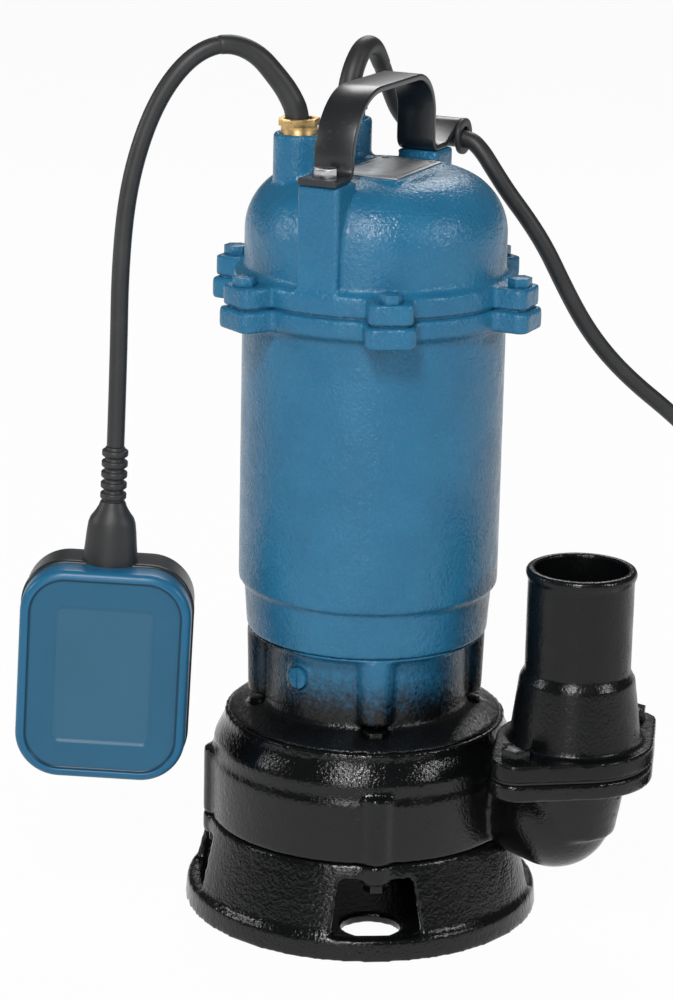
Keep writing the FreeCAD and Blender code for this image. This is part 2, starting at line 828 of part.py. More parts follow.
def pump_casing():
    """Round casing with four bolt columns, a suction eye and a discharge elbow."""
    belly = stand_top + D.casing_belly_height
    band = stand_top + D.casing_band_height
    core = revolve("casing_core", [
        (0, stand_top), (D.casing_band_radius, stand_top), (D.casing_band_radius, band),
        (D.casing_belly_radius, band + 2.0), (D.casing_belly_radius, belly),
        (D.shoulder_radius, casing_top - D.shoulder_edge), (D.shoulder_radius, casing_top),
        (0, casing_top)])
    shapes = [core]
    for i, angle in enumerate(quarter_angles):
        foot = polar(D.column_reach, angle, stand_top)
        shapes.append(cylinder("casing_column_%d" % i, D.column_radius, D.column_height, foot))
    elbow_z = branch_z - D.elbow_drop
    elbow_along = D.branch_reach - D.elbow_back
    sideways = Vector(0, 1, 0)
    riser_z = branch_z - D.riser_foot_drop
    branch = fuse("branch_straight", [
        cone("branch_tube", D.branch_root_radius, D.elbow_radius,
             elbow_along - D.branch_root_start,
             (D.branch_root_start, D.branch_offset, elbow_z), sideways, 90.0),
        sphere("branch_elbow", D.elbow_radius, (elbow_along, D.branch_offset, elbow_z)),
        cone("branch_riser", D.riser_foot_radius, D.riser_head_radius, flange_z - 1 - riser_z,
             (D.branch_reach, D.branch_offset, riser_z))])
    room = cylinder("branch_room", D.casing_band_radius + 4, stand_top)
    branch = cut("branch_outside", branch, [room])
    place(branch, (0, 0, 0), UP, D.branch_angle)
    shapes.append(branch)
    shapes.append(flange("casing_flange", D.flange_thickness,
                         (outlet_x, outlet_y, flange_z - D.flange_thickness)))
    outside = fuse("casing_outside", shapes)
    passage = fuse("branch_passage", [
        cone("branch_throat", D.branch_throat_radius, D.elbow_bore_radius,
             elbow_along - D.branch_throat_start,
             (D.branch_throat_start, D.branch_offset, elbow_z), sideways, 90.0),
        sphere("branch_turn", D.elbow_bore_radius, (elbow_along, D.branch_offset, elbow_z)),
        cylinder("branch_bore", D.elbow_bore_radius, flange_z + 1 - elbow_z,
                 (D.branch_reach, D.branch_offset, elbow_z))])
    place(passage, (0, 0, 0), UP, D.branch_angle)
    floor_top = stand_top + D.casing_floor
    hollows = [
        cylinder("casing_eye", D.inlet_radius, D.casing_floor + 2, (0, 0, stand_top - 1)),
        cylinder("casing_cavity", D.cavity_radius, roof_z - floor_top, (0, 0, floor_top)),
        cylinder("casing_mouth", D.casing_bore_radius, D.casing_roof + 2, (0, 0, roof_z - 1)),
        passage]
    for i, angle in enumerate(quarter_angles):
        hollows.append(cylinder("casing_thread_%d" % i, D.small_bolt_radius, D.stand_thread_depth,
                                polar(D.column_reach, angle, stand_top)))
        hollows.append(cylinder("casing_top_thread_%d" % i, D.small_bolt_radius,
                                D.casing_roof + 2,
                                polar(D.foot_reach, angle, casing_top - D.casing_roof)))
    for i, side in enumerate((1, -1)):
        hollows.append(cylinder("casing_ear_thread_%d" % i, D.large_bolt_radius,
                                D.flange_thickness + 2,
                                ear_place(side, flange_z - D.flange_thickness - 1)))
    node("pump_casing", cut("pump_casing", outside, hollows))




def casing_seal():
    """Rubber ring in the corner between the casing's mouth and the oil chamber's spigot."""
    high = casing_top - D.oil_spigot
    node("casing_seal", ring("casing_seal", D.casing_bore_radius - 0.1,
                             D.casing_bore_radius - 2 * D.o_ring_radius,
                             D.o_ring_radius, (0, 0, high - D.o_ring_radius)))


def casing_bolts():
    z = casing_top + D.foot_height
    small_bolts("casing_bolts", D.foot_reach, quarter_angles, z, D.casing_bolt_length - 0.8)


# Discharge connection

def hose_tail():
    """Cast connector with a two-eared flange, a cone and a beaded tube for the hose."""
    cone_low = tail_z + D.flange_thickness
    cone_top = cone_low + D.tail_cone_height
    tube_low = cone_top + D.tail_seat_height
    tube_top = tube_low + D.tail_tube_height
    mouth = tube_top + D.tail_bead_height
    body = revolve("tail_core", [
        (0, tail_z + 1), (D.tail_cone_radius, tail_z + 1), (D.tail_cone_radius, cone_low),
        (D.tail_neck_radius, cone_top), (D.tail_seat_radius, cone_top),
        (D.tail_seat_radius, tube_low), (D.tail_tube_radius, tube_low),
        (D.tail_tube_radius, tube_top), (D.tail_bead_radius, tube_top + 1.2),
        (D.tail_bead_radius, mouth - 1.2), (D.tail_bead_radius - 1.4, mouth), (0, mouth)])
    place(body, (outlet_x, outlet_y, 0))
    plate = flange("tail_flange", D.flange_thickness, (outlet_x, outlet_y, tail_z))
    solid = fuse("tail_solid", [body, plate])
    holes = [cylinder("tail_bore", D.pipe_bore_radius, mouth - tail_z + 2,
                      (outlet_x, outlet_y, tail_z - 1))]
    for i, side in enumerate((1, -1)):
        holes.append(cylinder("tail_ear_hole_%d" % i, D.large_bolt_radius + D.bolt_clearance,
                              D.flange_thickness + 2, ear_place(side, tail_z - 1)))
    node("hose_tail", cut("hose_tail", solid, holes))


def outlet_gasket():
    plate = flange("gasket_plate", D.flange_gasket_thickness, (outlet_x, outlet_y, flange_z),
                   D.flange_gasket_inset)
    holes = [cylinder("gasket_bore", D.pipe_bore_radius, 3, (outlet_x, outlet_y, flange_z - 1))]
    for i, side in enumerate((1, -1)):
        holes.append(cylinder("gasket_hole_%d" % i, D.large_bolt_radius + D.bolt_clearance, 3,
                              ear_place(side, flange_z - 1)))
    node("outlet_gasket", cut("outlet_gasket", plate, holes))


def outlet_bolts():
    """Two hex bolts, screwed through the hose tail's ears into the casing's flange."""
    grip = 2 * D.flange_thickness + D.flange_gasket_thickness
    bolts = []
    for i, side in enumerate((1, -1)):
        head_at = ear_place(side, tail_z + D.flange_thickness)
        bolts.append(bolt("outlet_bolt_%d" % i, D.large_bolt_radius - D.thread_gap,
                          D.large_head_flats, D.large_head_height, grip - 0.5, head_at, True,
                          15.0))
    node("outlet_bolts", group("outlet_bolts", bolts))


# Oil chamber and shaft seals

def oil_plug_point(distance):
    """A point on the oil plug's axis at this distance from the shaft's axis."""
    return polar(distance, D.oil_plug_angle, casing_top + D.oil_plug_height)


def radial(angle):
    """The turn that points a cylinder's axis outwards at an angle, as (axis, angle)."""
    turn = Rotation(UP, float(angle)) * Rotation(Vector(0, 1, 0), 90)
    return turn.Axis, math.degrees(turn.Angle)


def oil_chamber():
    """Ribbed chamber that holds the shaft seals in oil and carries the lower bearing."""
    base_top = casing_top + D.oil_base_height
    shoulder = oil_top - D.oil_shoulder_height
    spigot_low = casing_top - D.oil_spigot
    spigot_radius = D.casing_bore_radius - 0.1
    hub = D.lower_bearing_outer + 5
    bearing_top = lower_bearing_z + D.lower_bearing_width
    seal_low = lower_bearing_z - 0.5 - D.lip_seal_height
    upper = oil_top + D.housing_spigot - 0.5
    spigot_up = D.housing_spigot_radius - 0.1
    body = revolve("oil_core", [
        (D.seat_outer_radius, spigot_low), (spigot_radius, spigot_low), (spigot_radius, casing_top),
        (D.oil_flange_radius, casing_top), (D.oil_flange_radius, casing_top + D.oil_flange_edge),
        (D.oil_base_radius, base_top), (D.oil_radius, base_top + D.oil_base_fillet),
        (D.oil_radius, oil_top - D.oil_shoulder_drop), (D.oil_shoulder_radius, shoulder),
        (D.oil_shoulder_radius, oil_top), (spigot_up, oil_top), (spigot_up, upper), (hub, upper),
        (hub, bearing_top), (D.lower_bearing_outer, bearing_top),
        (D.lower_bearing_outer, lower_bearing_z), (D.lip_seal_outer_radius, lower_bearing_z),
        (D.lip_seal_outer_radius, seal_low), (D.lip_seal_outer_radius - 3, seal_low),
        (D.lip_seal_outer_radius - 3, oil_roof_z), (D.oil_cavity_radius, oil_roof_z),
        (D.oil_cavity_radius, oil_floor_top), (D.seat_outer_radius, oil_floor_top)])
    foot_top = casing_top + D.foot_height
    rib_low = foot_top + D.small_head_height + D.rib_clearance
    shapes = [body]
    for i, angle in enumerate(quarter_angles):
        shapes.append(cone("oil_rib_%d" % i, D.rib_foot_radius, D.rib_radius, oil_top - rib_low,
                           polar(D.rib_reach, angle, rib_low)))
        shapes.append(cylinder("oil_foot_%d" % i, D.foot_radius, D.foot_height,
                               polar(D.foot_reach, angle, casing_top)))
    axis, angle = radial(D.oil_plug_angle)
    pad_depth = 6.0
    shapes.append(cylinder("oil_pad", D.oil_pad_radius, pad_depth,
                           oil_plug_point(D.oil_pad_reach - pad_depth), axis, angle))
    solid = fuse("oil_solid", shapes)
    tools = [cylinder("oil_heart", D.oil_cavity_radius, oil_roof_z - oil_floor_top,
                      (0, 0, oil_floor_top)),
             cylinder("oil_plug_bore", D.oil_plug_radius, D.oil_plug_bore_depth + 2,
                      oil_plug_point(D.oil_pad_reach - D.oil_plug_bore_depth), axis, angle)]
    for i, turn in enumerate(quarter_angles):
        tools.append(cylinder("oil_foot_hole_%d" % i, D.small_bolt_radius + D.bolt_clearance,
                              D.foot_height + 2, polar(D.foot_reach, turn, casing_top - 1)))
        tools.append(cylinder("oil_spot_face_%d" % i, D.spot_face_radius, rib_low - foot_top,
                              polar(D.foot_reach, turn, foot_top)))
    node("oil_chamber", cut("oil_chamber", solid, tools))


def oil_plug():
    """Slotted filler plug, screwed into its pad."""
    axis, angle = radial(D.oil_plug_angle)
    start = oil_plug_point(D.oil_pad_reach + D.oil_plug_proud - D.oil_plug_length)
    plug = cylinder("oil_plug_body", D.oil_plug_radius - D.thread_gap, D.oil_plug_length,
                    start, axis, angle)
    slot = box("oil_plug_slot", 3.0, D.oil_plug_slot, 2 * D.oil_plug_radius + 2)
    reach = D.oil_pad_reach + D.oil_plug_proud - 1.6
    side = D.oil_plug_slot / 2
    x, y, z = oil_plug_point(reach)
    at = (x + side * sine(D.oil_plug_angle), y - side * cosine(D.oil_plug_angle),
          z - D.oil_plug_radius - 1)
    place(slot, at, UP, D.oil_plug_angle)
    node("oil_plug", cut("oil_plug", plug, [slot]))


def shaft_seals():
    seat_low = oil_floor_top - D.seat_height
    node("seal_seat", ring("seal_seat", D.seat_outer_radius - D.press_gap, D.seat_inner_radius,
                           D.seat_height, (0, 0, seat_low)))
    node("seal_face", ring("seal_face", D.face_outer_radius, D.shaft_seal_radius + D.press_gap,
                           D.face_height, (0, 0, oil_floor_top + 0.05)))
    low = oil_floor_top + 0.05 + D.face_height
    step = D.bellows_height / 5
    outer, waist = D.bellows_outer_radius, D.bellows_waist_radius
    inner = D.shaft_seal_radius + D.press_gap
    bellows = revolve("seal_bellows", [
        (inner, low), (outer, low), (outer, low + step), (waist, low + 1.5 * step),
        (outer, low + 2 * step), (outer, low + 3 * step), (waist, low + 3.5 * step),
        (outer, low + 4 * step), (outer, low + D.bellows_height), (inner, low + D.bellows_height)])
    node("seal_bellows", bellows)
    lip_low = lower_bearing_z - 0.5 - D.lip_seal_height
    node("lip_seal", ring("lip_seal", D.lip_seal_outer_radius - D.press_gap,
                          D.shaft_seal_radius + D.lip_seal_gap, D.lip_seal_height, (0, 0, lip_low)))


# Rotor

def shaft():
    """Stepped shaft from the impeller's thread to the upper bearing."""
    thread_low = impeller_low - D.shaft_thread_length
    seal_low = impeller_top + 1
    core_low = lower_bearing_z + D.lower_bearing_width
    top = upper_bearing_z + D.upper_bearing_width
    body = revolve("shaft_turned", [
        (0, thread_low), (D.shaft_thread_radius, thread_low), (D.shaft_thread_radius, impeller_low),
        (D.shaft_impeller_radius, impeller_low), (D.shaft_impeller_radius, seal_low),
        (D.shaft_seal_radius, seal_low), (D.shaft_seal_radius, lower_bearing_z),
        (D.shaft_lower_radius, lower_bearing_z), (D.shaft_lower_radius, core_low),
        (D.shaft_core_radius, core_low), (D.shaft_core_radius, upper_bearing_z),
        (D.shaft_upper_radius, upper_bearing_z), (D.shaft_upper_radius, top), (0, top)])
    slot = box("shaft_key_slot", D.key_width, D.key_depth + 1, impeller_top - impeller_low - 4,
               (-D.key_width / 2, D.shaft_impeller_radius - D.key_depth, impeller_low + 2))
    node("shaft", cut("shaft", body, [slot]))


def impeller():
    """Open impeller: a back plate, a keyed hub and straight vanes."""
    plate_low = impeller_top - D.impeller_plate
    plate = cylinder("impeller_plate", D.impeller_radius, D.impeller_plate, (0, 0, plate_low))
    hub = cylinder("impeller_hub", D.impeller_hub_radius, impeller_top - impeller_low,
                   (0, 0, impeller_low))
    shapes = [plate, hub]
    half = D.impeller_vane_thickness / 2
    for i in range(VANES):
        angle = 360.0 * i / VANES
        at = (half * sine(angle), -half * cosine(angle), impeller_low)
        shapes.append(box("impeller_vane_%d" % i, D.impeller_radius - 1.5,
                          D.impeller_vane_thickness, D.impeller_vane_height + 1, at, UP, angle))
    bore = cylinder("impeller_bore", D.shaft_impeller_radius + D.press_gap,
                    impeller_top - impeller_low + 2, (0, 0, impeller_low - 1))
    key_way = box("impeller_key_way", D.key_width, D.key_stand + D.key_depth + 3,
                  impeller_top - impeller_low + 2,
                  (-D.key_width / 2, D.shaft_impeller_radius - D.key_depth, impeller_low - 1))
    node("impeller", cut("impeller", fuse("impeller_solid", shapes), [bore, key_way]))
    key = box("impeller_key", D.key_width - 2 * D.key_gap, D.key_depth + D.key_stand - D.key_gap,
              impeller_top - impeller_low - 4.2,
              (-D.key_width / 2 + D.key_gap, D.shaft_impeller_radius - D.key_depth + D.key_gap,
               impeller_low + 2.1))
    node("impeller_key", key)
    nut_low = impeller_low - D.impeller_nut_height
    blank = hexagon("impeller_nut_blank", D.impeller_nut_flats, D.impeller_nut_height, (0, 0, nut_low))
    thread = cylinder("impeller_nut_thread", D.shaft_thread_radius + D.press_gap,
                      D.impeller_nut_height + 2, (0, 0, nut_low - 1))
    node("impeller_nut", cut("impeller_nut", blank, [thread]))


def motor_core():
    """Laminated rotor and stator with their rings and windings."""
    inner = D.shaft_core_radius + D.press_gap
    node("rotor_core", ring("rotor_core", D.rotor_radius, inner, D.rotor_length, (0, 0, rotor_z)))
    rings = [ring("end_ring_%d" % i, D.rotor_radius - 1, D.end_ring_inner, D.end_ring_height, at)
             for i, at in enumerate([(0, 0, rotor_z - D.end_ring_height),
                                     (0, 0, rotor_z + D.rotor_length)])]
    node("rotor_end_rings", group("rotor_end_rings", rings))
    node("stator_core", ring("stator_core", D.housing_bore_radius - D.stator_gap,
                             D.rotor_radius + D.air_gap, D.rotor_length, (0, 0, rotor_z)))
    outer, inner = D.winding_outer, D.winding_inner
    middle = (outer + inner) / 2
    round_in = (outer - inner) / 4
    coils = []
    for i, (low, high) in enumerate([(rotor_z - D.winding_height, rotor_z),
                                     (rotor_z + D.rotor_length,
                                      rotor_z + D.rotor_length + D.winding_height)]):
        points = [(inner, low), (outer, low), (outer, high - round_in), (middle + round_in, high),
                  (middle - round_in, high), (inner, high - round_in)]
        if i == 0:
            points = [(inner, high), (inner, low + round_in), (middle - round_in, low),
                      (middle + round_in, low), (outer, low + round_in), (outer, high)]
        coils.append(revolve("end_winding_%d" % i, points))
    node("stator_winding", group("stator_winding", coils))


def bearing(prefix, inner, outer, width, ball, count, z):
    """A deep-groove ball bearing: two grooved races, and balls held in a cage."""
    span = outer - inner
    pitch = (outer + inner) / 2
    thick = span * D.race_share
    middle = z + width / 2
    groove = ball + D.groove_gap
    outer_blank = ring(prefix + "_outer_blank", outer - D.press_gap, outer - thick, width, (0, 0, z))
    inner_blank = ring(prefix + "_inner_blank", inner + thick, inner + D.press_gap, width, (0, 0, z))
    for side, blank in (("outer", outer_blank), ("inner", inner_blank)):
        track = torus("%s_%s_track" % (prefix, side), pitch, groove, (0, 0, middle))
        label = "%s_%s_race" % (prefix, side)
        node(label, cut(label, blank, [track]))
    balls = []
    pockets = []
    for i in range(count):
        at = polar(pitch, 360.0 * i / count, middle)
        balls.append(sphere("%s_ball_%d" % (prefix, i), ball, at))
        axis, turn = radial(360.0 * i / count)
        pockets.append(cylinder("%s_pocket_%d" % (prefix, i), ball + D.cage_pocket_gap,
                                4 * D.cage_half_width,
                                polar(pitch - 2 * D.cage_half_width, 360.0 * i / count, middle),
                                axis, turn))
    cage = ring(prefix + "_cage_blank", pitch + D.cage_half_width, pitch - D.cage_half_width,
                2 * D.cage_half_height, (0, 0, middle - D.cage_half_height))
    cage = cut(prefix + "_cage", cage, pockets)
    label = prefix + "_balls"
    node(label, group(label, balls + [cage]))


def bearings():
    bearing("lower_bearing", D.shaft_lower_radius, D.lower_bearing_outer, D.lower_bearing_width,
            D.lower_bearing_ball, LOWER_BALLS, lower_bearing_z)
    bearing("upper_bearing", D.shaft_upper_radius, D.upper_bearing_outer, D.upper_bearing_width,
            D.upper_bearing_ball, UPPER_BALLS, upper_bearing_z)


def bearing_bracket():
    """Plate across the top of the motor housing that holds the upper bearing."""
    hub = D.upper_bearing_outer + D.bracket_hub_wall
    seat_top = bracket_z + D.wave_washer_thickness + 0.3
    plate_low = seat_top - 0.5
    body = revolve("bracket_turned", [
        (D.upper_bearing_outer, upper_bearing_z - 1), (hub, upper_bearing_z - 1), (hub, plate_low),
        (D.bracket_radius, plate_low), (D.bracket_radius, plate_low + D.bracket_plate),
        (D.shaft_upper_radius + 1, plate_low + D.bracket_plate), (D.shaft_upper_radius + 1, seat_top),
        (D.upper_bearing_outer, seat_top)])
    hole = (0, D.bracket_hole_circle, D.bracket_hole_radius)
    add_holes(body, "bracket_holes", [hole], plate_low + D.bracket_plate, D.bracket_plate, RIBS)
    node("bearing_bracket", body)
    node("wave_washer", ring("wave_washer", D.upper_bearing_outer - 0.4, D.upper_bearing_outer - 4,
                             D.wave_washer_thickness, (0, 0, bracket_z + 0.1)))


# Motor housing and top cover

def lobe_outline(half_width, reach, root_radius):
    """A bolt lobe towards -Y with rounded outer corners."""
    corner = D.lobe_corner
    return [(-half_width, -root_radius), (-half_width, corner - reach, corner),
            (corner - half_width, -reach), (half_width - corner, -reach, corner),
            (half_width, corner - reach), (half_width, -root_radius)]


def motor_housing():
    """Cast tube with a lower band and a six-lobed flange."""
    band_top = oil_top + D.housing_band_height
    flange_low = housing_top - D.housing_flange_height
    spigot_top = oil_top + D.housing_spigot
    body = revolve("motor_housing", [
        (D.housing_spigot_radius, oil_top), (D.housing_foot_radius, oil_top),
        (D.housing_band_radius, band_top), (D.housing_radius, band_top + D.housing_band_step),
        (D.housing_radius, flange_low - D.housing_flange_chamfer),
        (D.housing_flange_radius, flange_low + D.housing_flange_chamfer),
        (D.housing_flange_radius, housing_top), (D.housing_bore_radius, housing_top),
        (D.housing_bore_radius, spigot_top), (D.housing_spigot_radius, spigot_top)])
    lobe = lobe_outline(D.lower_lobe_half_width, D.lower_lobe_reach, D.housing_radius - 2)
    add_pad(body, "housing_lobe", lobe, flange_low, D.housing_flange_height, COVER_BOLTS)
    hole = (0, -D.cover_bolt_circle, D.small_bolt_radius)
    add_holes(body, "housing_thread", [hole], housing_top, D.housing_flange_height, COVER_BOLTS)
    node("motor_housing", body)


def housing_gasket():
    inset = D.housing_gasket_inset
    body = revolve("housing_gasket", [
        (D.housing_bore_radius + 1, housing_top), (D.cover_flange_radius - inset, housing_top),
        (D.cover_flange_radius - inset, cover_z), (D.housing_bore_radius + 1, cover_z)])
    lobe = lobe_outline(D.upper_lobe_half_width - inset, D.upper_lobe_reach - inset,
                        D.housing_bore_radius + D.gasket_lobe_root)
    add_pad(body, "gasket_lobe", lobe, housing_top, D.housing_gasket_thickness, COVER_BOLTS)
    hole = (0, -D.cover_bolt_circle, D.small_bolt_radius + D.bolt_clearance)
    add_holes(body, "gasket_holes", [hole], cover_z, D.housing_gasket_thickness, COVER_BOLTS)
    node("housing_gasket", body)


def top_cover():
    """Domed cover with bolt lobes, two gland towers, two handle bosses and a plate seat."""
    flange_top = cover_z + D.cover_flange_height
    radius, corner, wall = D.cover_radius, D.dome_corner, D.cover_wall
    dome = revolve("cover_shell", [
        (radius - wall, cover_z), (D.cover_flange_radius, cover_z),
        (D.cover_flange_radius, flange_top), (radius, flange_top + D.cover_flange_slope),
        (radius, dome_top - corner, corner), (radius - corner, dome_top), (0, dome_top),
        (0, dome_top - wall), (radius - corner, dome_top - wall, wall - corner),
        (radius - wall, dome_top - corner)])
    lobe = lobe_outline(D.upper_lobe_half_width, D.upper_lobe_reach, radius - 2)
    add_pad(dome, "cover_lobe", lobe, cover_z, D.cover_flange_height, COVER_BOLTS)
    hole = (0, -D.cover_bolt_circle, D.small_bolt_radius + D.bolt_clearance)
    add_holes(dome, "cover_holes", [hole], flange_top, D.cover_flange_height, COVER_BOLTS)
    shapes = [dome]
    half = D.handle_boss_width / 2
    boss_low = flange_top - 1
    for i, start in enumerate([D.handle_boss_inner, -D.handle_boss_outer]):
        length = D.handle_boss_outer - D.handle_boss_inner
        at = along_handle(start, -half, boss_low)
        shapes.append(box("cover_boss_%d" % i, length, D.handle_boss_width, strap_z - boss_low,
                          at, UP, D.handle_angle))
    seat = along_handle(D.seat_back - D.seat_length / 2, -D.seat_shift - D.seat_width / 2,
                        dome_top - 3)
    shapes.append(box("cover_seat", D.seat_length, D.seat_width, 3 + D.seat_rise, seat, UP,
                      D.handle_angle))
    for i, tower in enumerate([float_tower, power_tower]):
        low = dome_top - corner
        at = (tower[0], tower[1], low)
        shapes.append(cylinder("cover_tower_%d" % i, D.tower_radius, tower_top - low, at))
    solid = fuse("cover_solid", shapes)
    tools = []
    inner_corner = corner - wall
    tools.append(revolve("cover_room", [
        (0, cover_z - 1), (radius - wall, cover_z - 1), (radius - wall, dome_top - corner, inner_corner),
        (radius - corner, dome_top - wall), (0, dome_top - wall)]))
    for i, tower in enumerate([float_tower, power_tower]):
        tools.append(cylinder("cover_tower_bore_%d" % i, D.tower_bore_radius,
                              tower_top - dome_top + corner + 2, (tower[0], tower[1],
                                                                  dome_top - corner)))
    for i, (along, z) in enumerate(handle_bolt_places()):
        x, y, unused = along_handle(along, 0, z)
        tools.append(cylinder("cover_handle_thread_%d" % i, D.small_bolt_radius,
                              D.handle_bolt_length, (x, y, z - D.handle_bolt_length)))
    for i, place_xy in enumerate(rivet_places()):
        tools.append(cylinder("cover_rivet_hole_%d" % i, D.rivet_radius, D.rivet_depth + 0.2,
                              (place_xy[0], place_xy[1], seat_z - D.rivet_depth - 0.2)))
    node("top_cover", cut("top_cover", solid, tools))


def handle_bolt_places():
    """Each handle bolt's place along the handle's line and the level of its seat."""
    return [(-D.front_bolt_reach, strap_z), (D.rear_bolt_reach, strap_z)]


def rivet_places():
    """The four rivets near the corners of the nameplate."""
    along = D.plate_length / 2 - D.rivet_inset
    side = D.plate_width / 2 - D.rivet_inset
    return [along_handle(D.seat_back + a * along, b * side - D.seat_shift, 0)
            for a in (-1, 1) for b in (-1, 1)]


def cover_bolts():
    angles = [-90.0 + 360.0 * i / COVER_BOLTS for i in range(COVER_BOLTS)]
    small_bolts("cover_bolts", D.cover_bolt_circle, angles, cover_z + D.cover_flange_height,
                D.cover_bolt_length)


def glands():
    """Hex gland nuts on the two towers, with a rubber seal ring under each."""
    seals = []
    for label, tower in (("float_gland_nut", float_tower), ("power_gland_nut", power_tower)):
        x, y, z = tower
        collar = D.gland_collar_height
        shapes = [
            hexagon(label + "_hex", D.gland_hex_flats, D.gland_hex_height, (x, y, z + collar), 10.0),
            cylinder(label + "_collar", D.gland_collar_radius, collar, tower),
            cylinder(label + "_thread", D.tower_bore_radius - D.thread_gap, D.gland_thread_depth + 1,
                     (x, y, z - D.gland_thread_depth))]
        bore = cylinder(label + "_bore", D.gland_bore_radius, D.gland_thread_depth + 12,
                        (x, y, z - D.gland_thread_depth - 1))
        node(label, cut(label, fuse(label + "_solid", shapes), [bore]))
        low = z - D.gland_thread_depth - D.seal_ring_height
        seals.append(ring(label + "_seal", D.tower_bore_radius - D.thread_gap, D.sleeve_base_radius,
                          D.seal_ring_height, (x, y, low)))
    node("cable_seals", group("cable_seals", seals))


# Handle, nameplate and what is under the cover

def curl_centre():
    """The axis of the curl at the strap's rear end, as (along, height) from the strap's foot."""
    angle, length = D.strap_lip_angle, D.strap_lip_length
    inner = D.grommet_neck_radius + D.grommet_gap
    return (D.strap_lip_start + length * cosine(angle) + inner * sine(angle),
            length * sine(angle) - inner * cosine(angle))


def strap_outline():
    """Side view of the bent strap: lower line to the curled end, then the upper line back."""
    thick = D.strap_thickness
    front, rear, top = D.strap_front_leg, D.strap_rear_leg, D.strap_rise
    front_corner, rear_corner, small = D.strap_front_corner, D.strap_rear_corner, D.strap_foot_corner
    loose = small + thick
    angle = D.strap_lip_angle
    sin_a, cos_a = sine(angle), cosine(angle)
    start = D.strap_lip_start
    tip_x, tip_y = start + D.strap_lip_length * cos_a, D.strap_lip_length * sin_a
    bend = thick * (1 - cos_a) / sin_a
    centre_x, centre_y = curl_centre()
    inner = D.grommet_neck_radius + D.grommet_gap
    outer = inner + thick
    end = angle + 90.0 - D.strap_curl_sweep
    return [
        (-D.strap_foot_reach, 0), (-front - small, 0, loose), (thick - front, loose),
        (thick - front, top - front_corner, thick - front_corner), (front_corner - front, top - thick),
        (rear - rear_corner, top - thick, thick - rear_corner), (rear - thick, top - rear_corner),
        (rear - thick, loose, loose), (rear + small, 0), (start, 0), (tip_x, tip_y, -inner),
        (centre_x + inner * cosine(end), centre_y + inner * sine(end)),
        (centre_x + outer * cosine(end), centre_y + outer * sine(end), outer),
        (tip_x - thick * sin_a, tip_y + thick * cos_a), (start - bend, thick),
        (rear + small, thick, -small), (rear, loose), (rear, top - rear_corner, rear_corner),
        (rear - rear_corner, top), (front_corner - front, top, front_corner),
        (-front, top - front_corner), (-front, loose, -small), (-front - small, thick),
        (-D.strap_foot_reach, thick)]


def handle():
    """Flat steel strap bent to a bow; its rear end curls round the cable's grommet."""
    points = strap_outline()
    body = doc.addObject("PartDesign::Body", "handle_strap")
    sketch = sketch_on(body, "handle_outline", "XZ_Plane")
    draw(sketch, points)
    pad = body.newObject("PartDesign::Pad", "handle_pad")
    pad.Profile = sketch
    pad.Midplane = True
    bind(pad, "Length", D.strap_width)
    place(body, (0, 0, strap_z), UP, D.handle_angle)
    tools = []
    for i, (along, z) in enumerate(handle_bolt_places()):
        x, y, unused = along_handle(along, 0, z)
        tools.append(cylinder("handle_hole_%d" % i, D.small_bolt_radius + D.bolt_clearance,
                              D.strap_thickness + 2, (x, y, z - 1)))
    node("handle", cut("handle", body, tools))


def across_handle(name, radius, low, high):
    """A cylinder on the curl's axis, between two distances to the left of the handle's line."""
    along, height = curl_centre()
    x, y, z = along_handle(along, as_size(low), strap_z + height)
    turn = Rotation(UP, float(D.handle_angle) + 90) * Rotation(Vector(0, 1, 0), 90)
    return cylinder(name, radius, as_size(high) - low, (x, y, z), turn.Axis,
                    math.degrees(turn.Angle))


def cable_grommet():
    """Rubber spool inside the strap's curl, with a flange at each side of the strap."""
    side = D.strap_width / 2 + D.grommet_gap
    reach = side + D.grommet_flange
    shapes = [across_handle("grommet_neck", D.grommet_neck_radius, -reach, reach),
              across_handle("grommet_near", D.grommet_flange_radius, -reach, -side),
              across_handle("grommet_far", D.grommet_flange_radius, side, reach)]
    bore = across_handle("grommet_bore", D.grommet_bore_radius, -reach - 1, reach + 1)
    node("cable_grommet", cut("cable_grommet", fuse("grommet_solid", shapes), [bore]))


def handle_bolts():
    bolts = []
    for i, (along, z) in enumerate(handle_bolt_places()):
        x, y, unused = along_handle(along, 0, z)
        bolts.append(bolt("handle_bolt_%d" % i, D.small_bolt_radius - D.thread_gap,
                          D.small_head_flats, D.small_head_height, D.handle_bolt_length,
                          (x, y, z + D.strap_thickness), True, 30.0))
    node("handle_bolts", group("handle_bolts", bolts))


def nameplate():
    """Bare metal plate on the cover's seat, held by four drive rivets."""
    at = along_handle(D.seat_back - D.plate_length / 2, -D.seat_shift - D.plate_width / 2, seat_z)
    plate = box("nameplate_blank", D.plate_length, D.plate_width, D.plate_thickness, at, UP,
                D.handle_angle)
    holes = []
    rivets = []
    for i, (x, y, unused) in enumerate(rivet_places()):
        holes.append(cylinder("nameplate_hole_%d" % i, D.rivet_radius, D.plate_thickness + 2,
                              (x, y, seat_z - 1)))
        pin = cylinder("rivet_pin_%d" % i, D.rivet_radius - 0.02, D.rivet_depth + D.plate_thickness,
                       (x, y, seat_z - D.rivet_depth))
        head = cone("rivet_head_%d" % i, D.rivet_head_radius, D.rivet_radius, D.rivet_head_height,
                    (x, y, seat_z + D.plate_thickness))
        rivets.append(fuse("rivet_%d" % i, [pin, head]))
    node("nameplate", cut("nameplate", plate, holes))
    node("nameplate_rivets", group("nameplate_rivets", rivets))


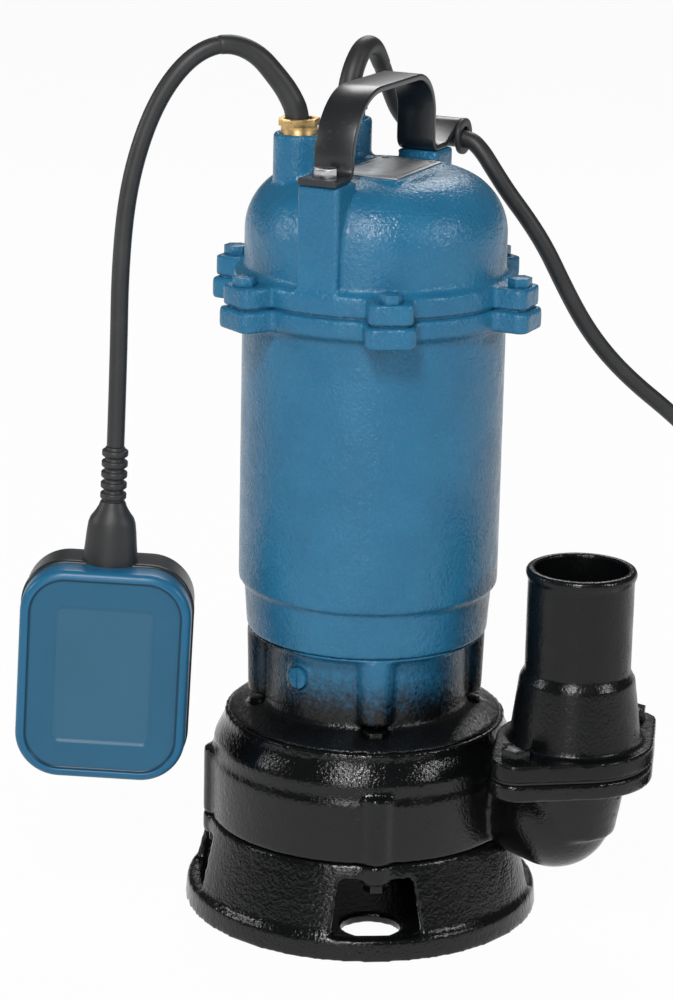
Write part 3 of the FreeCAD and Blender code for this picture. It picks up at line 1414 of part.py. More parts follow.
def electrical_parts():
    """Start capacitor and terminal block, standing on the bearing bracket."""
    floor = bracket_z + D.wave_washer_thickness - 0.2 + D.bracket_plate
    can = cylinder("capacitor", D.capacitor_radius, D.capacitor_length,
                   along_handle(0, -D.capacitor_reach, floor))
    node("capacitor", can)
    at = along_handle(-D.terminal_length / 2, D.terminal_reach, floor)
    block = box("terminal_blank", D.terminal_length, D.terminal_width, D.terminal_height, at, UP,
                D.handle_angle)
    slots = []
    for i, share in enumerate((0.2, 0.4, 0.6, 0.8)):
        spot = along_handle((share - 0.5) * D.terminal_length, D.terminal_reach + D.terminal_width / 2,
                            floor + D.terminal_height - 6)
        slots.append(cylinder("terminal_hole_%d" % i, 2.2, 8.0, spot))
    node("terminal_block", cut("terminal_block", block, slots))


# Float switch

def float_frame():
    """Where the float's own frame stands: its bend point, and its facing and tilt."""
    turn = (Rotation(UP, float(D.float_facing_angle))
            * Rotation(Vector(0, 1, 0), float(D.float_tilt_angle)))
    return FreeCAD.Placement(Vector(float(D.float_x), float(D.float_y), float(D.float_z)), turn)


def hang(obj):
    """Stand an object of the float's own frame in the pump's frame."""
    obj.Placement = float_frame()
    for key, size in (("x", D.float_x), ("y", D.float_y), ("z", D.float_z)):
        obj.setExpression("Placement.Base." + key, size.text)
    return obj


def rounded_plate(name, width, height, corner, top, depth, front):
    """A rounded rectangle in the XZ plane, as deep as given and starting at Y = front."""
    right, low = width / 2, top - height
    points = [(-right, low + corner), (-right, top - corner, -corner), (corner - right, top),
              (right - corner, top, -corner), (right, top - corner), (right, low + corner, -corner),
              (right - corner, low), (corner - right, low, -corner)]
    body = doc.addObject("PartDesign::Body", name)
    sketch = sketch_on(body, name + "_outline", "XZ_Plane", -as_size(front))
    draw(sketch, points)
    pad = body.newObject("PartDesign::Pad", name + "_pad")
    pad.Profile = sketch
    pad.Reversed = True
    bind(pad, "Length", depth)
    return body


def half_shell(name, depth, front, face_low):
    """Half of the float's case: a stepped rounded block, hollow towards the seam."""
    top = -D.float_top_drop
    wall, inset = D.float_wall, D.float_face_inset
    face_depth = depth * 0.3
    wide = rounded_plate(name + "_wide", D.float_width, D.float_height, D.float_corner, top,
                         depth - face_depth, front if face_low == 0 else front + face_depth)
    face_front = front + depth - face_depth if face_low == 0 else front
    face = rounded_plate(name + "_face", D.float_width - 2 * inset, D.float_height - 2 * inset,
                         D.float_corner - inset / 2, top - inset, face_depth, face_front)
    room_front = front - 1 if face_low == 0 else front + wall
    room = rounded_plate(name + "_room", D.float_width - 2 * (wall + inset),
                         D.float_height - 2 * (wall + inset), D.float_corner - wall - inset,
                         top - wall - inset, depth - wall + 1, room_front)
    return cut(name + "_case", fuse(name + "_block", [wide, face]), [room])


def float_switch():
    """Float case in two halves, its boot, cable relief, ball, microswitch and lever."""
    seam = (D.float_front_depth - D.float_rear_depth) / 2
    half = (D.float_front_depth + D.float_rear_depth) / 2
    boot_low = -D.float_top_drop - 10
    boot_tip = D.boot_length - D.float_top_drop
    shoulder = boot_tip - D.boot_shoulder_drop
    boot_solid = [(0, boot_low), (D.boot_root_radius, boot_low), (D.boot_root_radius, -D.float_top_drop),
                  (D.boot_shoulder_radius, shoulder), (D.boot_tip_radius, boot_tip), (0, boot_tip)]
    front = half_shell("float_front", D.float_front_depth, -half, 1)
    rear = half_shell("float_rear", D.float_rear_depth - D.float_seam_gap,
                      seam + D.float_seam_gap, 0)
    socket_radius = D.boot_root_radius + 0.05
    for label, shell in (("float_front_shell", front), ("float_rear_shell", rear)):
        socket = cylinder(label + "_socket", socket_radius, D.boot_socket_length, (0, 0, boot_low - 0.05))
        node(label, hang(cut(label, shell, [socket])))
    node("float_boot", hang(revolve("float_boot", boot_solid)))
    low, count = boot_tip, int(SIZES["relief_ribs"])
    ribs = [(0, low)]
    for i in range(count):
        start = low + 1.0 + i * (D.relief_rib_width + D.relief_rib_gap)
        end = start + D.relief_rib_width
        ribs += [(D.relief_core_radius, low if i == 0 else start), (D.relief_core_radius, start)][i > 0:]
        ribs += [(D.relief_rib_radius, start), (D.relief_rib_radius, end), (D.relief_core_radius, end)]
    tip = low + D.relief_length
    ribs += [(D.relief_core_radius, tip), (0, tip)]
    node("float_relief", hang(revolve("float_relief", ribs)))
    return boot_low


def float_inside(boot_low):
    """A steel ball that rolls towards the microswitch when the float tips up."""
    case_low = -D.float_top_drop - D.float_height
    ball_z = case_low + D.float_wall + D.float_face_inset + D.ball_radius + D.ball_floor_gap
    ball = sphere("ball_steel", D.ball_radius, (0, 0, ball_z))
    node("float_ball", hang(group("float_ball", [ball])))
    lever_z = ball_z + D.ball_travel + D.ball_radius + D.lever_gap
    lever = box("lever_blade", D.lever_length, D.lever_width, D.lever_thickness,
                (-D.lever_length / 2, -D.lever_width / 2, lever_z))
    node("switch_lever", hang(group("switch_lever", [lever])))
    case = box("switch_case", D.switch_width, D.switch_depth, D.switch_height,
               (-D.switch_width / 2, -D.switch_depth / 2, lever_z + D.lever_thickness + 2.4))
    node("float_microswitch", hang(group("float_microswitch", [case])))


# Cables

def run_lengths(points):
    return [(b - a).Length for a, b in zip(points, points[1:])]


def route_edges(route):
    """The straight runs and tangent arcs of a hand-chosen route, and the arcs' radii."""
    points = [Vector(*point) for point in route]
    runs = run_lengths(points)
    edges = []
    radii = []
    start = points[0]
    for i in range(1, len(points) - 1):
        before = (points[i] - points[i - 1]).normalize()
        after = (points[i + 1] - points[i]).normalize()
        turn = before.getAngle(after)
        set_back = 0.45 * min(runs[i - 1], runs[i])
        bend = set_back / math.tan(turn / 2)
        radii.append(bend)
        first, last = points[i] - before * set_back, points[i] + after * set_back
        inward = (after - before).normalize()
        centre_distance = bend / math.cos(turn / 2)
        middle = points[i] + inward * (centre_distance - bend)
        edges.append(Part.LineSegment(start, first).toShape())
        edges.append(Part.Arc(first, middle, last).toShape())
        start = last
    edges.append(Part.LineSegment(start, points[-1]).toShape())
    return edges, radii


def round_section(edge, at_end, radius):
    """A circle square to an edge's start or end."""
    where = edge.LastParameter if at_end else edge.FirstParameter
    return Part.Wire([Part.Circle(edge.valueAt(where), edge.tangentAt(where), float(radius)).toShape()])


def cable_tube(label, route, radius):
    """A round tube along a route."""
    edges, radii = route_edges(route)
    wire = Part.Wire(edges)
    solid = wire.makePipeShell([round_section(edges[0], False, radius)], True, False)
    expected = math.pi * float(radius) ** 2 * wire.Length
    print("%s: length %.1f mm, arc radii %s mm, volume ratio %.4f" % (
        label, wire.Length, " ".join("%.0f" % r for r in radii), solid.Volume / expected))
    feature(label, solid)
    return wire.Length


def feature(label, shape):
    """A piece whose shape no bound feature can make."""
    obj = doc.addObject("Part::Feature", label)
    obj.Shape = shape
    node(label, obj)
    return obj


def cable_sleeve(label, route, edge_count):
    """A rubber sleeve that tapers along the first edges of a cable's route, from inside its gland."""
    edges = route_edges(route)[0][:edge_count]
    wire = Part.Wire(edges)
    sections = [round_section(edges[0], False, D.sleeve_base_radius - D.press_gap),
                round_section(edges[-1], True, D.sleeve_tip_radius)]
    outside = wire.makePipeShell(sections, True, False)
    inside = wire.makePipeShell([round_section(edges[0], False, D.cable_radius + D.press_gap)],
                                True, False)
    solid = outside.cut(inside)
    print("%s: %.0f mm long, %d solid" % (label, wire.Length, len(solid.Solids)))
    feature(label, solid)


def coil_centre_line():
    """The coil's centre line: four layers that spiral in and out, as points and tangents."""
    pitch = float(D.coil_pitch)
    inner = float(D.coil_inner_radius)
    turns = float(D.coil_layer_turns)
    layers = 4
    base = float(D.cable_radius + D.coil_floor_gap)
    centre = Vector(float(D.coil_centre_x), float(D.coil_centre_y), 0)
    start = math.radians(float(D.coil_start_angle))
    span = 2 * math.pi * turns

    def point(angle):
        layer = min(int(angle / span), layers - 1)
        share = angle / span - layer
        inward = layer % 2 == 0
        radius = inner + pitch * turns * ((1 - share) if inward else share)
        height = base + pitch * layer
        climb = math.pi / 2
        edge = (round(angle / span)) * span
        if 0 < round(angle / span) < layers and abs(angle - edge) < climb:
            t = (angle - edge + climb) / (2 * climb)
            below = base + pitch * (round(angle / span) - 1)
            height = below + pitch * t * t * (3 - 2 * t)
        way = start - angle
        return centre + Vector(radius * math.cos(way), radius * math.sin(way), height)

    def tangent(angle):
        step = 1e-4
        low, high = max(angle - step, 0.0), min(angle + step, span * layers)
        return (point(high) - point(low)).normalize()

    total = span * layers
    steps = int(round(total / (math.pi / 2)))
    angles = [total * i / steps for i in range(steps + 1)]
    return [(point(angle), tangent(angle)) for angle in angles]


def arc_between(start, ahead, end):
    """The arc that leaves start along a tangent and ends at end."""
    chord = end - start
    turn = ahead.getAngle(chord)
    if turn < 1e-6:
        return Part.LineSegment(start, end).toShape()
    side = (ahead - chord * (ahead.dot(chord) / chord.dot(chord))).normalize()
    middle = (start + end) * 0.5 + side * (chord.Length / 2 * math.tan(turn / 2))
    return Part.Arc(start, middle, end).toShape()


def biarc(start, ahead, end, leaving):
    """Two tangent arcs from one point and tangent to the next."""
    chord = end - start
    both = ahead + leaving
    across = 2 * (1 - ahead.dot(leaving))
    along = chord.dot(both)
    if across < 1e-9:
        reach = chord.dot(chord) / (4 * chord.dot(leaving))
    else:
        reach = (-along + math.sqrt(along * along + across * chord.dot(chord))) / across
    join = (start + ahead * reach + end - leaving * reach) * 0.5
    second = arc_between(end, leaving * -1, join)
    return [arc_between(start, ahead, join), second]


def least_gap(wire, radius):
    """The least gap between stretches of a wound tube, measured on points of its centre line."""
    step = 4.0
    count = int(wire.Length / step)
    points = wire.discretize(Number=count)
    skip = int(8 * float(radius) / step)
    least = min((points[i] - points[j]).Length
                for i in range(len(points)) for j in range(i + skip, len(points)))
    return least - 2 * float(radius)


def power_coil():
    """The cable's spare length as one tube wound in four layers, with its tail to the plug."""
    line = coil_centre_line()
    radius = float(D.cable_radius)
    edges = []
    for (start, ahead), (end, leaving) in zip(line, line[1:]):
        edges += biarc(start, ahead, end, leaving)
    last, way = line[-1]
    down = Vector(way.x, way.y, 0).normalize()
    outwards = UP.cross(down)
    tail = [(last, way)]
    height = float(D.plug_body_radius) + 0.2
    for forward, aside, level, drop in ((28.0, 3.0, last.z - 4.5, 0.26), (58.0, 9.5, height, 0.0)):
        point = last + down * forward + outwards * aside
        point.z = level
        tail.append((point, (down + outwards * 0.2 - UP * drop).normalize()))
    for (start, ahead), (end, leaving) in zip(tail, tail[1:]):
        edges += biarc(start, ahead, end, leaving)
    end, heading = tail[-1]
    straight_end = end + heading * (2 * radius)
    edges.append(Part.LineSegment(end, straight_end).toShape())
    first, ahead = line[0]
    straight_start = first - ahead * (2 * radius)
    edges.insert(0, Part.LineSegment(straight_start, first).toShape())
    wire = Part.Wire(Part.__sortEdges__(edges))
    section = Part.Wire([Part.Circle(straight_start, ahead, radius).toShape()])
    solid = wire.makePipeShell([section], True, False)
    expected = math.pi * radius ** 2 * wire.Length
    print("power_coil: length %.1f mm, least gap %.2f mm, volume ratio %.4f, starts %s heading %s" % (
        wire.Length, least_gap(wire, radius), solid.Volume / expected,
        tuple(round(v, 1) for v in straight_start), tuple(round(v, 2) for v in ahead)))
    feature("power_coil", solid)
    return wire.Length, straight_start, straight_end, heading


def plug(start, heading):
    """Moulded mains plug with a tapered tail and two round pins."""
    turn = Rotation(UP, heading)
    place_at = FreeCAD.Placement(start, turn)
    tail, neck, body = (float(D.plug_tail_length), float(D.plug_neck_length),
                        float(D.plug_body_length))
    profile = revolve("power_plug", [
        (0, 0), (D.plug_tail_radius, 0), (D.plug_neck_radius, D.plug_tail_length),
        (D.plug_neck_radius, D.plug_tail_length + D.plug_neck_length / 2),
        (D.plug_body_radius, D.plug_tail_length + D.plug_neck_length),
        (D.plug_body_radius, D.plug_tail_length + D.plug_neck_length + D.plug_body_length - 2),
        (D.plug_body_radius - 2, D.plug_tail_length + D.plug_neck_length + D.plug_body_length),
        (0, D.plug_tail_length + D.plug_neck_length + D.plug_body_length)])
    profile.Placement = place_at
    node("power_plug", profile)
    pins = []
    face = D.plug_tail_length + D.plug_neck_length + D.plug_body_length
    for i, side in enumerate((-1, 1)):
        at = (side * D.pin_spacing / 2, 0, face)
        pins.append(cylinder("plug_pin_%d" % i, D.pin_radius, D.pin_length, at))
    pair = group("plug_pins", pins)
    pair.Placement = place_at
    node("plug_pins", pair)


def coil_tie():
    """A flat strap round the coil's section, seen as a rectangular band."""
    middle = D.coil_inner_radius + D.coil_pitch * D.coil_layer_turns / 2
    half = D.coil_pitch * D.coil_layer_turns / 2 + D.cable_radius + D.tie_gap
    low = D.coil_floor_gap - 0.1 - D.tie_thickness
    high = 3 * D.coil_pitch + 2 * D.cable_radius + 0.1 + D.tie_gap
    thick = D.tie_thickness
    x_low = D.coil_centre_x - D.tie_width / 2
    y_low = D.coil_centre_y - middle - half
    outer = box("tie_outer", D.tie_width, 2 * half + 2 * thick, high + 2 * thick,
                (x_low, y_low - thick, low))
    inner = box("tie_inner", D.tie_width + 2, 2 * half, high, (x_low - 1, y_low, low + thick))
    node("coil_tie", cut("coil_tie", outer, [inner]))


def cables():
    radius = D.cable_radius
    float_length = cable_tube("float_cable", FLOAT_ROUTE, radius)
    cable_sleeve("float_cable_sleeve", FLOAT_ROUTE, FLOAT_SLEEVE_EDGES)
    cable_sleeve("power_cable_sleeve", POWER_ROUTE, POWER_SLEEVE_EDGES)
    coil_length, coil_start, coil_end, heading = power_coil()
    power_length = cable_tube("power_cable", POWER_ROUTE + [tuple(coil_start)], radius)
    print("float cable %.0f mm; power cable %.0f mm in all" % (
        float_length, power_length + coil_length))
    plug(coil_end, heading)
    coil_tie()


def build():
    base_stand()
    stand_bolts()
    pump_casing()
    casing_seal()
    casing_bolts()
    hose_tail()
    outlet_gasket()
    outlet_bolts()
    oil_chamber()
    oil_plug()
    shaft_seals()
    shaft()
    impeller()
    motor_core()
    bearings()
    bearing_bracket()
    motor_housing()
    housing_gasket()
    top_cover()
    cover_bolts()
    glands()
    handle()
    handle_bolts()
    cable_grommet()
    nameplate()
    electrical_parts()
    float_inside(float_switch())
    cables()


def check_and_write():
    """Recompute, stop at any failed object, then write one file for each piece."""
    doc.recompute()
    failed = [obj.Label for obj in doc.Objects if {"Invalid", "Error"} & set(obj.State)]
    failed += [obj.Label for obj in NODES if obj.Shape.isNull() or not obj.Shape.isValid()]
    if failed:
        raise SystemExit("failed objects: " + ", ".join(sorted(set(failed))))
    os.makedirs("parts", exist_ok=True)
    for obj in NODES:
        obj.Shape.exportStep("parts/%s.step" % obj.Label)
    print("%d pieces written" % len(NODES))


build()
check_and_write()
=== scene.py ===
"""Looks of a submersible sump pump: painted castings, rubber cables, a float and a strap handle.

The frame is the CAD frame: +Z is up, and the origin is the centre of the stand's underside. Lengths
are in metres, except in the cables' routes, the coil, the sleeves and the float, which are in
millimetres and get scaled by MM. Cast pieces are softened copies of their CAD nodes, cables are
NURBS curves, and the float, its boot and its cable relief are rings of points made with numpy.
"""
from __future__ import annotations

import logging
import math
from dataclasses import dataclass
from enum import Enum

import bpy
import numpy as np
from mathutils import Matrix

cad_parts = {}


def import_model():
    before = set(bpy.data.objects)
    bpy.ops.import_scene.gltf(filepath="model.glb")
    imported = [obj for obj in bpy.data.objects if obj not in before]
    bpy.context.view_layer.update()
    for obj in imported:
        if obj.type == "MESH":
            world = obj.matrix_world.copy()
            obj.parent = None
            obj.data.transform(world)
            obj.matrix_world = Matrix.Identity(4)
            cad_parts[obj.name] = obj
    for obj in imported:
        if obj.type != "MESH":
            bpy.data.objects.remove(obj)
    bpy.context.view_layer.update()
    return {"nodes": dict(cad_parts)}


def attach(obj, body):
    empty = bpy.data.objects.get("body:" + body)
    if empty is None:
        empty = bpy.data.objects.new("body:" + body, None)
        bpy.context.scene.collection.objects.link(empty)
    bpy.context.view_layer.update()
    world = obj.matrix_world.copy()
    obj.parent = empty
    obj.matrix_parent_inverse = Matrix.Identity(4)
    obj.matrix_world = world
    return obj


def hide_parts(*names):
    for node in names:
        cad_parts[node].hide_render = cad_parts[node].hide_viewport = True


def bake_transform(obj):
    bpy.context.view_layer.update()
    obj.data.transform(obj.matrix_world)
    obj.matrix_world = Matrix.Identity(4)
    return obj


LOG = logging.getLogger("sump_pump")
MM = 0.001
Point = tuple[float, float, float]
Rgba = tuple[float, float, float, float]
Level = tuple[float, float, float, float]

# Softening of the CAD's shapes
WELD_DISTANCE = 0.00001
VOXEL = 0.0012
FINE_VOXEL = 0.001
SMOOTH_FACTOR = 0.5
BEVEL_SEGMENTS = 2
BEVEL_ANGLE = math.radians(32)
SHARP_ANGLE = math.radians(34)


class Slot(Enum):
    """Material slot names, one for each kind of piece made here."""

    BLACK_CAST = "black_cast_paint"
    BLUE_CAST = "blue_cast_paint"
    STRAP = "black_strap_paint"
    RUBBER = "cable_rubber"
    BRASS = "brass"
    ZINC = "zinc_steel"
    PLATE = "bare_plate"
    FLOAT_BLUE = "float_blue_paint"
    FLOAT_BLACK = "float_black_plastic"


# Meshes

def placed(name: str, data: bpy.types.ID) -> bpy.types.Object:
    """A new object with this data, put in the scene."""
    obj = bpy.data.objects.new(name, data)
    bpy.context.scene.collection.objects.link(obj)
    return obj


def grid_faces(rows: int, cols: int) -> np.ndarray:
    """Quads of a grid whose columns close on themselves, pointing outwards.

    Args:
        rows: Number of rings.
        cols: Number of points in each ring, counted anticlockwise seen from the last ring.

    Returns:
        An array of four vertex numbers for each quad.
    """
    row = np.arange(rows - 1)[:, None] * cols
    col = np.arange(cols)[None, :]
    after = (col + 1) % cols
    corners = [row + col, row + after, row + cols + after, row + cols + col]
    return np.stack(corners, -1).reshape(-1, 4)


def ring_surface(name: str, rings: np.ndarray) -> bpy.types.Object:
    """A closed surface through rings of points, with a pole in the middle of each end.

    Args:
        name: Name of the object.
        rings: Points as (rows, columns, 3), rings turning anticlockwise about the way they go.

    Returns:
        The new object, shaded smooth.
    """
    rows, cols = rings.shape[:2]
    first, last = rings[0].mean(0), rings[-1].mean(0)
    verts = np.concatenate([rings.reshape(-1, 3), first[None], last[None]])
    col = np.arange(cols)
    after = (col + 1) % cols
    low = np.stack([np.full(cols, rows * cols), after, col], -1)
    top = (rows - 1) * cols
    high = np.stack([np.full(cols, rows * cols + 1), top + col, top + after], -1)
    faces = grid_faces(rows, cols).tolist() + low.tolist() + high.tolist()
    mesh = bpy.data.meshes.new(name)
    mesh.from_pydata(verts.tolist(), [], faces)
    mesh.shade_smooth()
    return placed(name, mesh)


def colour_zones(obj: bpy.types.Object, cols: int, starts: tuple[int, ...],
                 materials: tuple[bpy.types.Material, ...]) -> None:
    """Give bands of a ring surface further materials.

    Args:
        obj: A surface from ring_surface.
        cols: Number of points in each of its rings.
        starts: Ring at which each further material begins.
        materials: The further materials, one for each start.
    """
    rows = len(obj.data.polygons) // cols - 1
    bands = np.repeat(np.arange(rows - 1), cols)
    ring = np.concatenate([bands, np.zeros(cols), np.full(cols, rows)])
    for material in materials:
        obj.data.materials.append(material)
    index = np.searchsorted(starts, ring, side="right")
    obj.data.polygons.foreach_set("material_index", index.tolist())


def apply_modifiers(obj: bpy.types.Object) -> None:
    """Bake an object's modifiers into its mesh."""
    depsgraph = bpy.context.evaluated_depsgraph_get()
    baked = bpy.data.meshes.new_from_object(obj.evaluated_get(depsgraph), depsgraph=depsgraph)
    obj.modifiers.clear()
    obj.data = baked


def copy_of(frame: dict, node: str, name: str) -> bpy.types.Object:
    """A welded copy of a CAD node's mesh in its own object.

    Args:
        node: Name of the CAD node.
        name: Name of the new object.

    Returns:
        The copy, riding on nothing yet.
    """
    obj = placed(name, frame["nodes"][node].data.copy())
    obj.data.materials.clear()
    weld = obj.modifiers.new("weld", "WELD")
    weld.merge_threshold = WELD_DISTANCE
    apply_modifiers(obj)
    return obj


def cast_copy(frame: dict, node: str, voxel: float, passes: int) -> bpy.types.Object:
    """A sand-cast look: the node remeshed evenly, then relaxed until its edges round off."""
    obj = copy_of(frame, node, node + "_cast")
    remesh = obj.modifiers.new("remesh", "REMESH")
    remesh.mode = "VOXEL"
    remesh.voxel_size = voxel
    smooth = obj.modifiers.new("smooth", "SMOOTH")
    smooth.factor = SMOOTH_FACTOR
    smooth.iterations = passes
    apply_modifiers(obj)
    obj.data.shade_smooth()
    return obj


def softened(frame: dict, node: str, width: float) -> bpy.types.Object:
    """A copy of a turned or pressed node with its sharp edges broken by a small bevel."""
    obj = copy_of(frame, node, node + "_soft")
    bevel = obj.modifiers.new("bevel", "BEVEL")
    bevel.width = width
    bevel.segments = BEVEL_SEGMENTS
    bevel.limit_method = "ANGLE"
    bevel.angle_limit = BEVEL_ANGLE
    bevel.use_clamp_overlap = True
    apply_modifiers(obj)
    obj.data.shade_smooth()
    obj.data.set_sharp_from_angle(angle=SHARP_ANGLE)
    return obj


# Finishes

BLACK: Point = (0.0035, 0.0038, 0.0042)
BLACK_DEEP: Point = (0.0025, 0.0028, 0.003)
BLUE: Point = (0.018, 0.145, 0.27)
BLUE_DEEP: Point = (0.014, 0.12, 0.232)
STRAP_BLACK: Point = (0.014, 0.015, 0.017)
STRAP_SCUFF: Point = (0.06, 0.062, 0.066)
FLOAT_DIRT: Point = (0.008, 0.03, 0.06)


def rgba(colour: Point) -> Rgba:
    """A colour with full opacity."""
    return (*colour, 1.0)


def tinted(colour: Point, gain: float, lift: float = 0.0) -> Rgba:
    """A colour made brighter or darker by a gain and raised by a lift, with full opacity."""
    return rgba(tuple(channel * gain + lift for channel in colour))


class Graph:
    """A material's node tree with short calls to add linked nodes."""

    # Sockets of a Mix node set to colours
    MIX_SHARE, MIX_FIRST, MIX_SECOND, MIX_RESULT = 0, 6, 7, 2

    def __init__(self, name: str) -> None:
        """Start an empty material with a Principled shader."""
        self.material = bpy.data.materials.new(name)
        self.material.use_nodes = True
        self.tree = self.material.node_tree
        self.shader = self.tree.nodes["Principled BSDF"]
        self.where = self.add("TexCoord").outputs["Object"]

    def add(self, kind: str, links: dict | None = None, **settings: object) -> bpy.types.Node:
        """Add a node, set its properties and link or set its inputs.

        Args:
            kind: Node type without the ShaderNode prefix.
            links: Input name or number to a value or to another node's output.
            **settings: Properties of the node.

        Returns:
            The new node.
        """
        node = self.tree.nodes.new("ShaderNode" + kind)
        for key, value in settings.items():
            setattr(node, key, value)
        for key, value in (links or {}).items():
            self.put(node.inputs[key], value)
        return node

    def put(self, socket: bpy.types.NodeSocket, value: object) -> None:
        """Link an output to a socket, or set its value."""
        if isinstance(value, bpy.types.NodeSocket):
            self.tree.links.new(value, socket)
        else:
            socket.default_value = value

    def noise(self, scale: float, detail: float = 3.0,
              roughness: float = 0.55) -> bpy.types.NodeSocket:
        """Noise on object coordinates, with this many features to the metre."""
        inputs = {"Vector": self.where, "Scale": scale, "Detail": detail, "Roughness": roughness}
        return self.add("TexNoise", inputs).outputs["Fac"]

    def span(self, value: bpy.types.NodeSocket, low: float, high: float, start: float = 0.0,
             end: float = 1.0) -> bpy.types.NodeSocket:
        """Map a value from low..high to start..end, clamped, with a smooth step."""
        inputs = {"Value": value, "From Min": low, "From Max": high, "To Min": start,
                  "To Max": end}
        return self.add("MapRange", inputs, interpolation_type="SMOOTHSTEP").outputs["Result"]

    def uneven(self, scale: float, start: float, end: float) -> bpy.types.NodeSocket:
        """A value that wanders between two ends with noise of this scale."""
        return self.span(self.noise(scale), low=0.3, high=0.7, start=start, end=end)

    def math(self, operation: str, first: object, second: object = 0.0) -> bpy.types.NodeSocket:
        """One arithmetic step; steps on a single number leave the second out."""
        return self.add("Math", {0: first, 1: second}, operation=operation).outputs[0]

    def blend(self, share: object, first: object, second: object) -> bpy.types.NodeSocket:
        """Mix two colours by a share."""
        inputs = {self.MIX_SHARE: share, self.MIX_FIRST: first, self.MIX_SECOND: second}
        return self.add("Mix", inputs, data_type="RGBA").outputs[self.MIX_RESULT]

    def height(self, axis: str = "Z") -> bpy.types.NodeSocket:
        """One coordinate of the point."""
        return self.add("SeparateXYZ", {0: self.where}).outputs[axis]

    def bump(self, *layers: tuple[bpy.types.NodeSocket, float, float]) -> None:
        """Chain bumps of (height, strength, distance) into the shader's normal."""
        normal = None
        for height, strength, distance in layers:
            inputs = {"Height": height, "Strength": strength, "Distance": distance}
            if normal is not None:
                inputs["Normal"] = normal
            normal = self.add("Bump", inputs).outputs["Normal"]
        self.put(self.shader.inputs["Normal"], normal)

    def surface(self, **inputs: object) -> bpy.types.Material:
        """Set the shader's inputs, underscores standing for spaces, and hand over the material."""
        for key, value in inputs.items():
            self.put(self.shader.inputs[key.replace("_", " ")], value)
        return self.material


@dataclass(frozen=True)
class CastPaint:
    """Thick enamel over a sand casting: orange peel and grain, with black overspray if asked.

    Attributes:
        name: Name of the material.
        colour: The paint's colour.
        deep: Its colour where it lies thicker.
        roughness: Roughness that the surface wanders about.
        grain: Strength of the casting's fine bump.
        gloss: Specular level.
        fade_low: Height below which the paint is all black.
        fade_high: Height above which it is not; there is no fade unless it is above fade_low.
        fleck: Strength of the black drops on the side towards the outlet.
        relief: Distance of the orange peel's bump.
    """

    # Features to the metre
    CLOUDS, ROUGH, PEEL, SPRAY, GRAIN, DUST = 26.0, 90.0, 170.0, 420.0, 640.0, 1300.0
    # How far the spray's edge strays, and where the sprayed flanks start and end off their middle
    SPRAY_EDGE, FLANK_MIDDLE, FLANK_FROM, FLANK_TO = 0.034, 0.004, 0.034, 0.05
    # Where the drops start and end, along X towards the outlet and down from the cover
    DROPS_NEAR, DROPS_FAR, DROPS_TOP, DROPS_LOW = 0.035, 0.062, 0.285, 0.15

    name: str
    colour: Point
    deep: Point
    roughness: float = 0.3
    grain: float = 0.5
    gloss: float = 0.4
    fade_low: float = 0.0
    fade_high: float = 0.0
    fleck: float = 0.0
    relief: float = 0.0008

    def overspray(self, g: Graph, colour: bpy.types.NodeSocket) -> bpy.types.NodeSocket:
        """Black below the fade and on both flanks, with a speckled edge."""
        noise = g.noise(self.SPRAY, detail=5.0, roughness=0.7)
        stray = g.math("MULTIPLY", g.math("SUBTRACT", noise, 0.5), self.SPRAY_EDGE)
        level = g.math("ADD", g.height(), stray)
        below = g.span(level, self.fade_low, self.fade_high, start=1.0, end=0.0)
        aside = g.math("ABSOLUTE", g.math("ADD", g.height("X"), -self.FLANK_MIDDLE))
        flank = g.span(g.math("ADD", aside, stray), self.FLANK_FROM, self.FLANK_TO, end=0.9)
        return g.blend(g.math("MAXIMUM", below, flank), colour, rgba(BLACK))

    def drops(self, g: Graph, colour: bpy.types.NodeSocket) -> bpy.types.NodeSocket:
        """Black drops that thicken towards the outlet and downwards."""
        side = g.span(g.height("X"), self.DROPS_NEAR, self.DROPS_FAR)
        band = g.span(g.height(), self.DROPS_TOP, self.DROPS_LOW)
        thick = g.math("MULTIPLY", g.math("MULTIPLY", side, band), self.fleck)
        drops = g.span(g.noise(self.SPRAY, detail=4.0, roughness=0.75), low=0.5, high=0.62)
        return g.blend(g.math("MULTIPLY", thick, drops), colour, rgba(BLACK))

    def build(self) -> bpy.types.Material:
        """Broad noise and painted sparkle specks colour it; orange peel and grain come from two
        bumps.
        """
        g = Graph(self.name)
        clouds = g.span(g.noise(self.CLOUDS, detail=4.0), low=0.3, high=0.7)
        colour = g.blend(clouds, rgba(self.colour), rgba(self.deep))
        # Painted sparkle: sparse fine specks in a lighter copy of the paint stand in for glints on
        # the grain.
        painted_sparkle = g.span(g.noise(self.DUST, detail=2.0), low=0.62, high=0.74, end=0.35)
        colour = g.blend(painted_sparkle, colour, tinted(self.colour, gain=1.9, lift=0.01))
        if self.fade_high > self.fade_low:
            colour = self.overspray(g, colour)
        if self.fleck > 0.0:
            colour = self.drops(g, colour)
        peel = g.noise(self.PEEL, detail=2.0)
        fine = g.noise(self.GRAIN, detail=2.5, roughness=0.6)
        g.bump((peel, 0.6, self.relief), (fine, self.grain, 0.8 * self.relief))
        rough = g.uneven(self.ROUGH, self.roughness - 0.05, self.roughness + 0.07)
        return g.surface(Base_Color=colour, Roughness=rough, Specular_IOR_Level=self.gloss)


@dataclass(frozen=True)
class Rubber:
    """Moulded rubber or soft plastic sheath with a faint bloom."""

    # Features to the metre
    BLOOM, PORES = 60.0, 900.0

    name: str
    colour: Point
    roughness: float = 0.5

    def build(self) -> bpy.types.Material:
        """Fine pores over a colour that greys slightly where it has been handled."""
        g = Graph(self.name)
        bloom = g.span(g.noise(self.BLOOM, detail=5.0), low=0.45, high=0.75, end=0.5)
        colour = g.blend(bloom, rgba(self.colour), tinted(self.colour, gain=1.7, lift=0.004))
        g.bump((g.noise(self.PORES, detail=2.0), 0.25, 0.0002))
        return g.surface(Base_Color=colour, Roughness=self.roughness, Specular_IOR_Level=0.45)


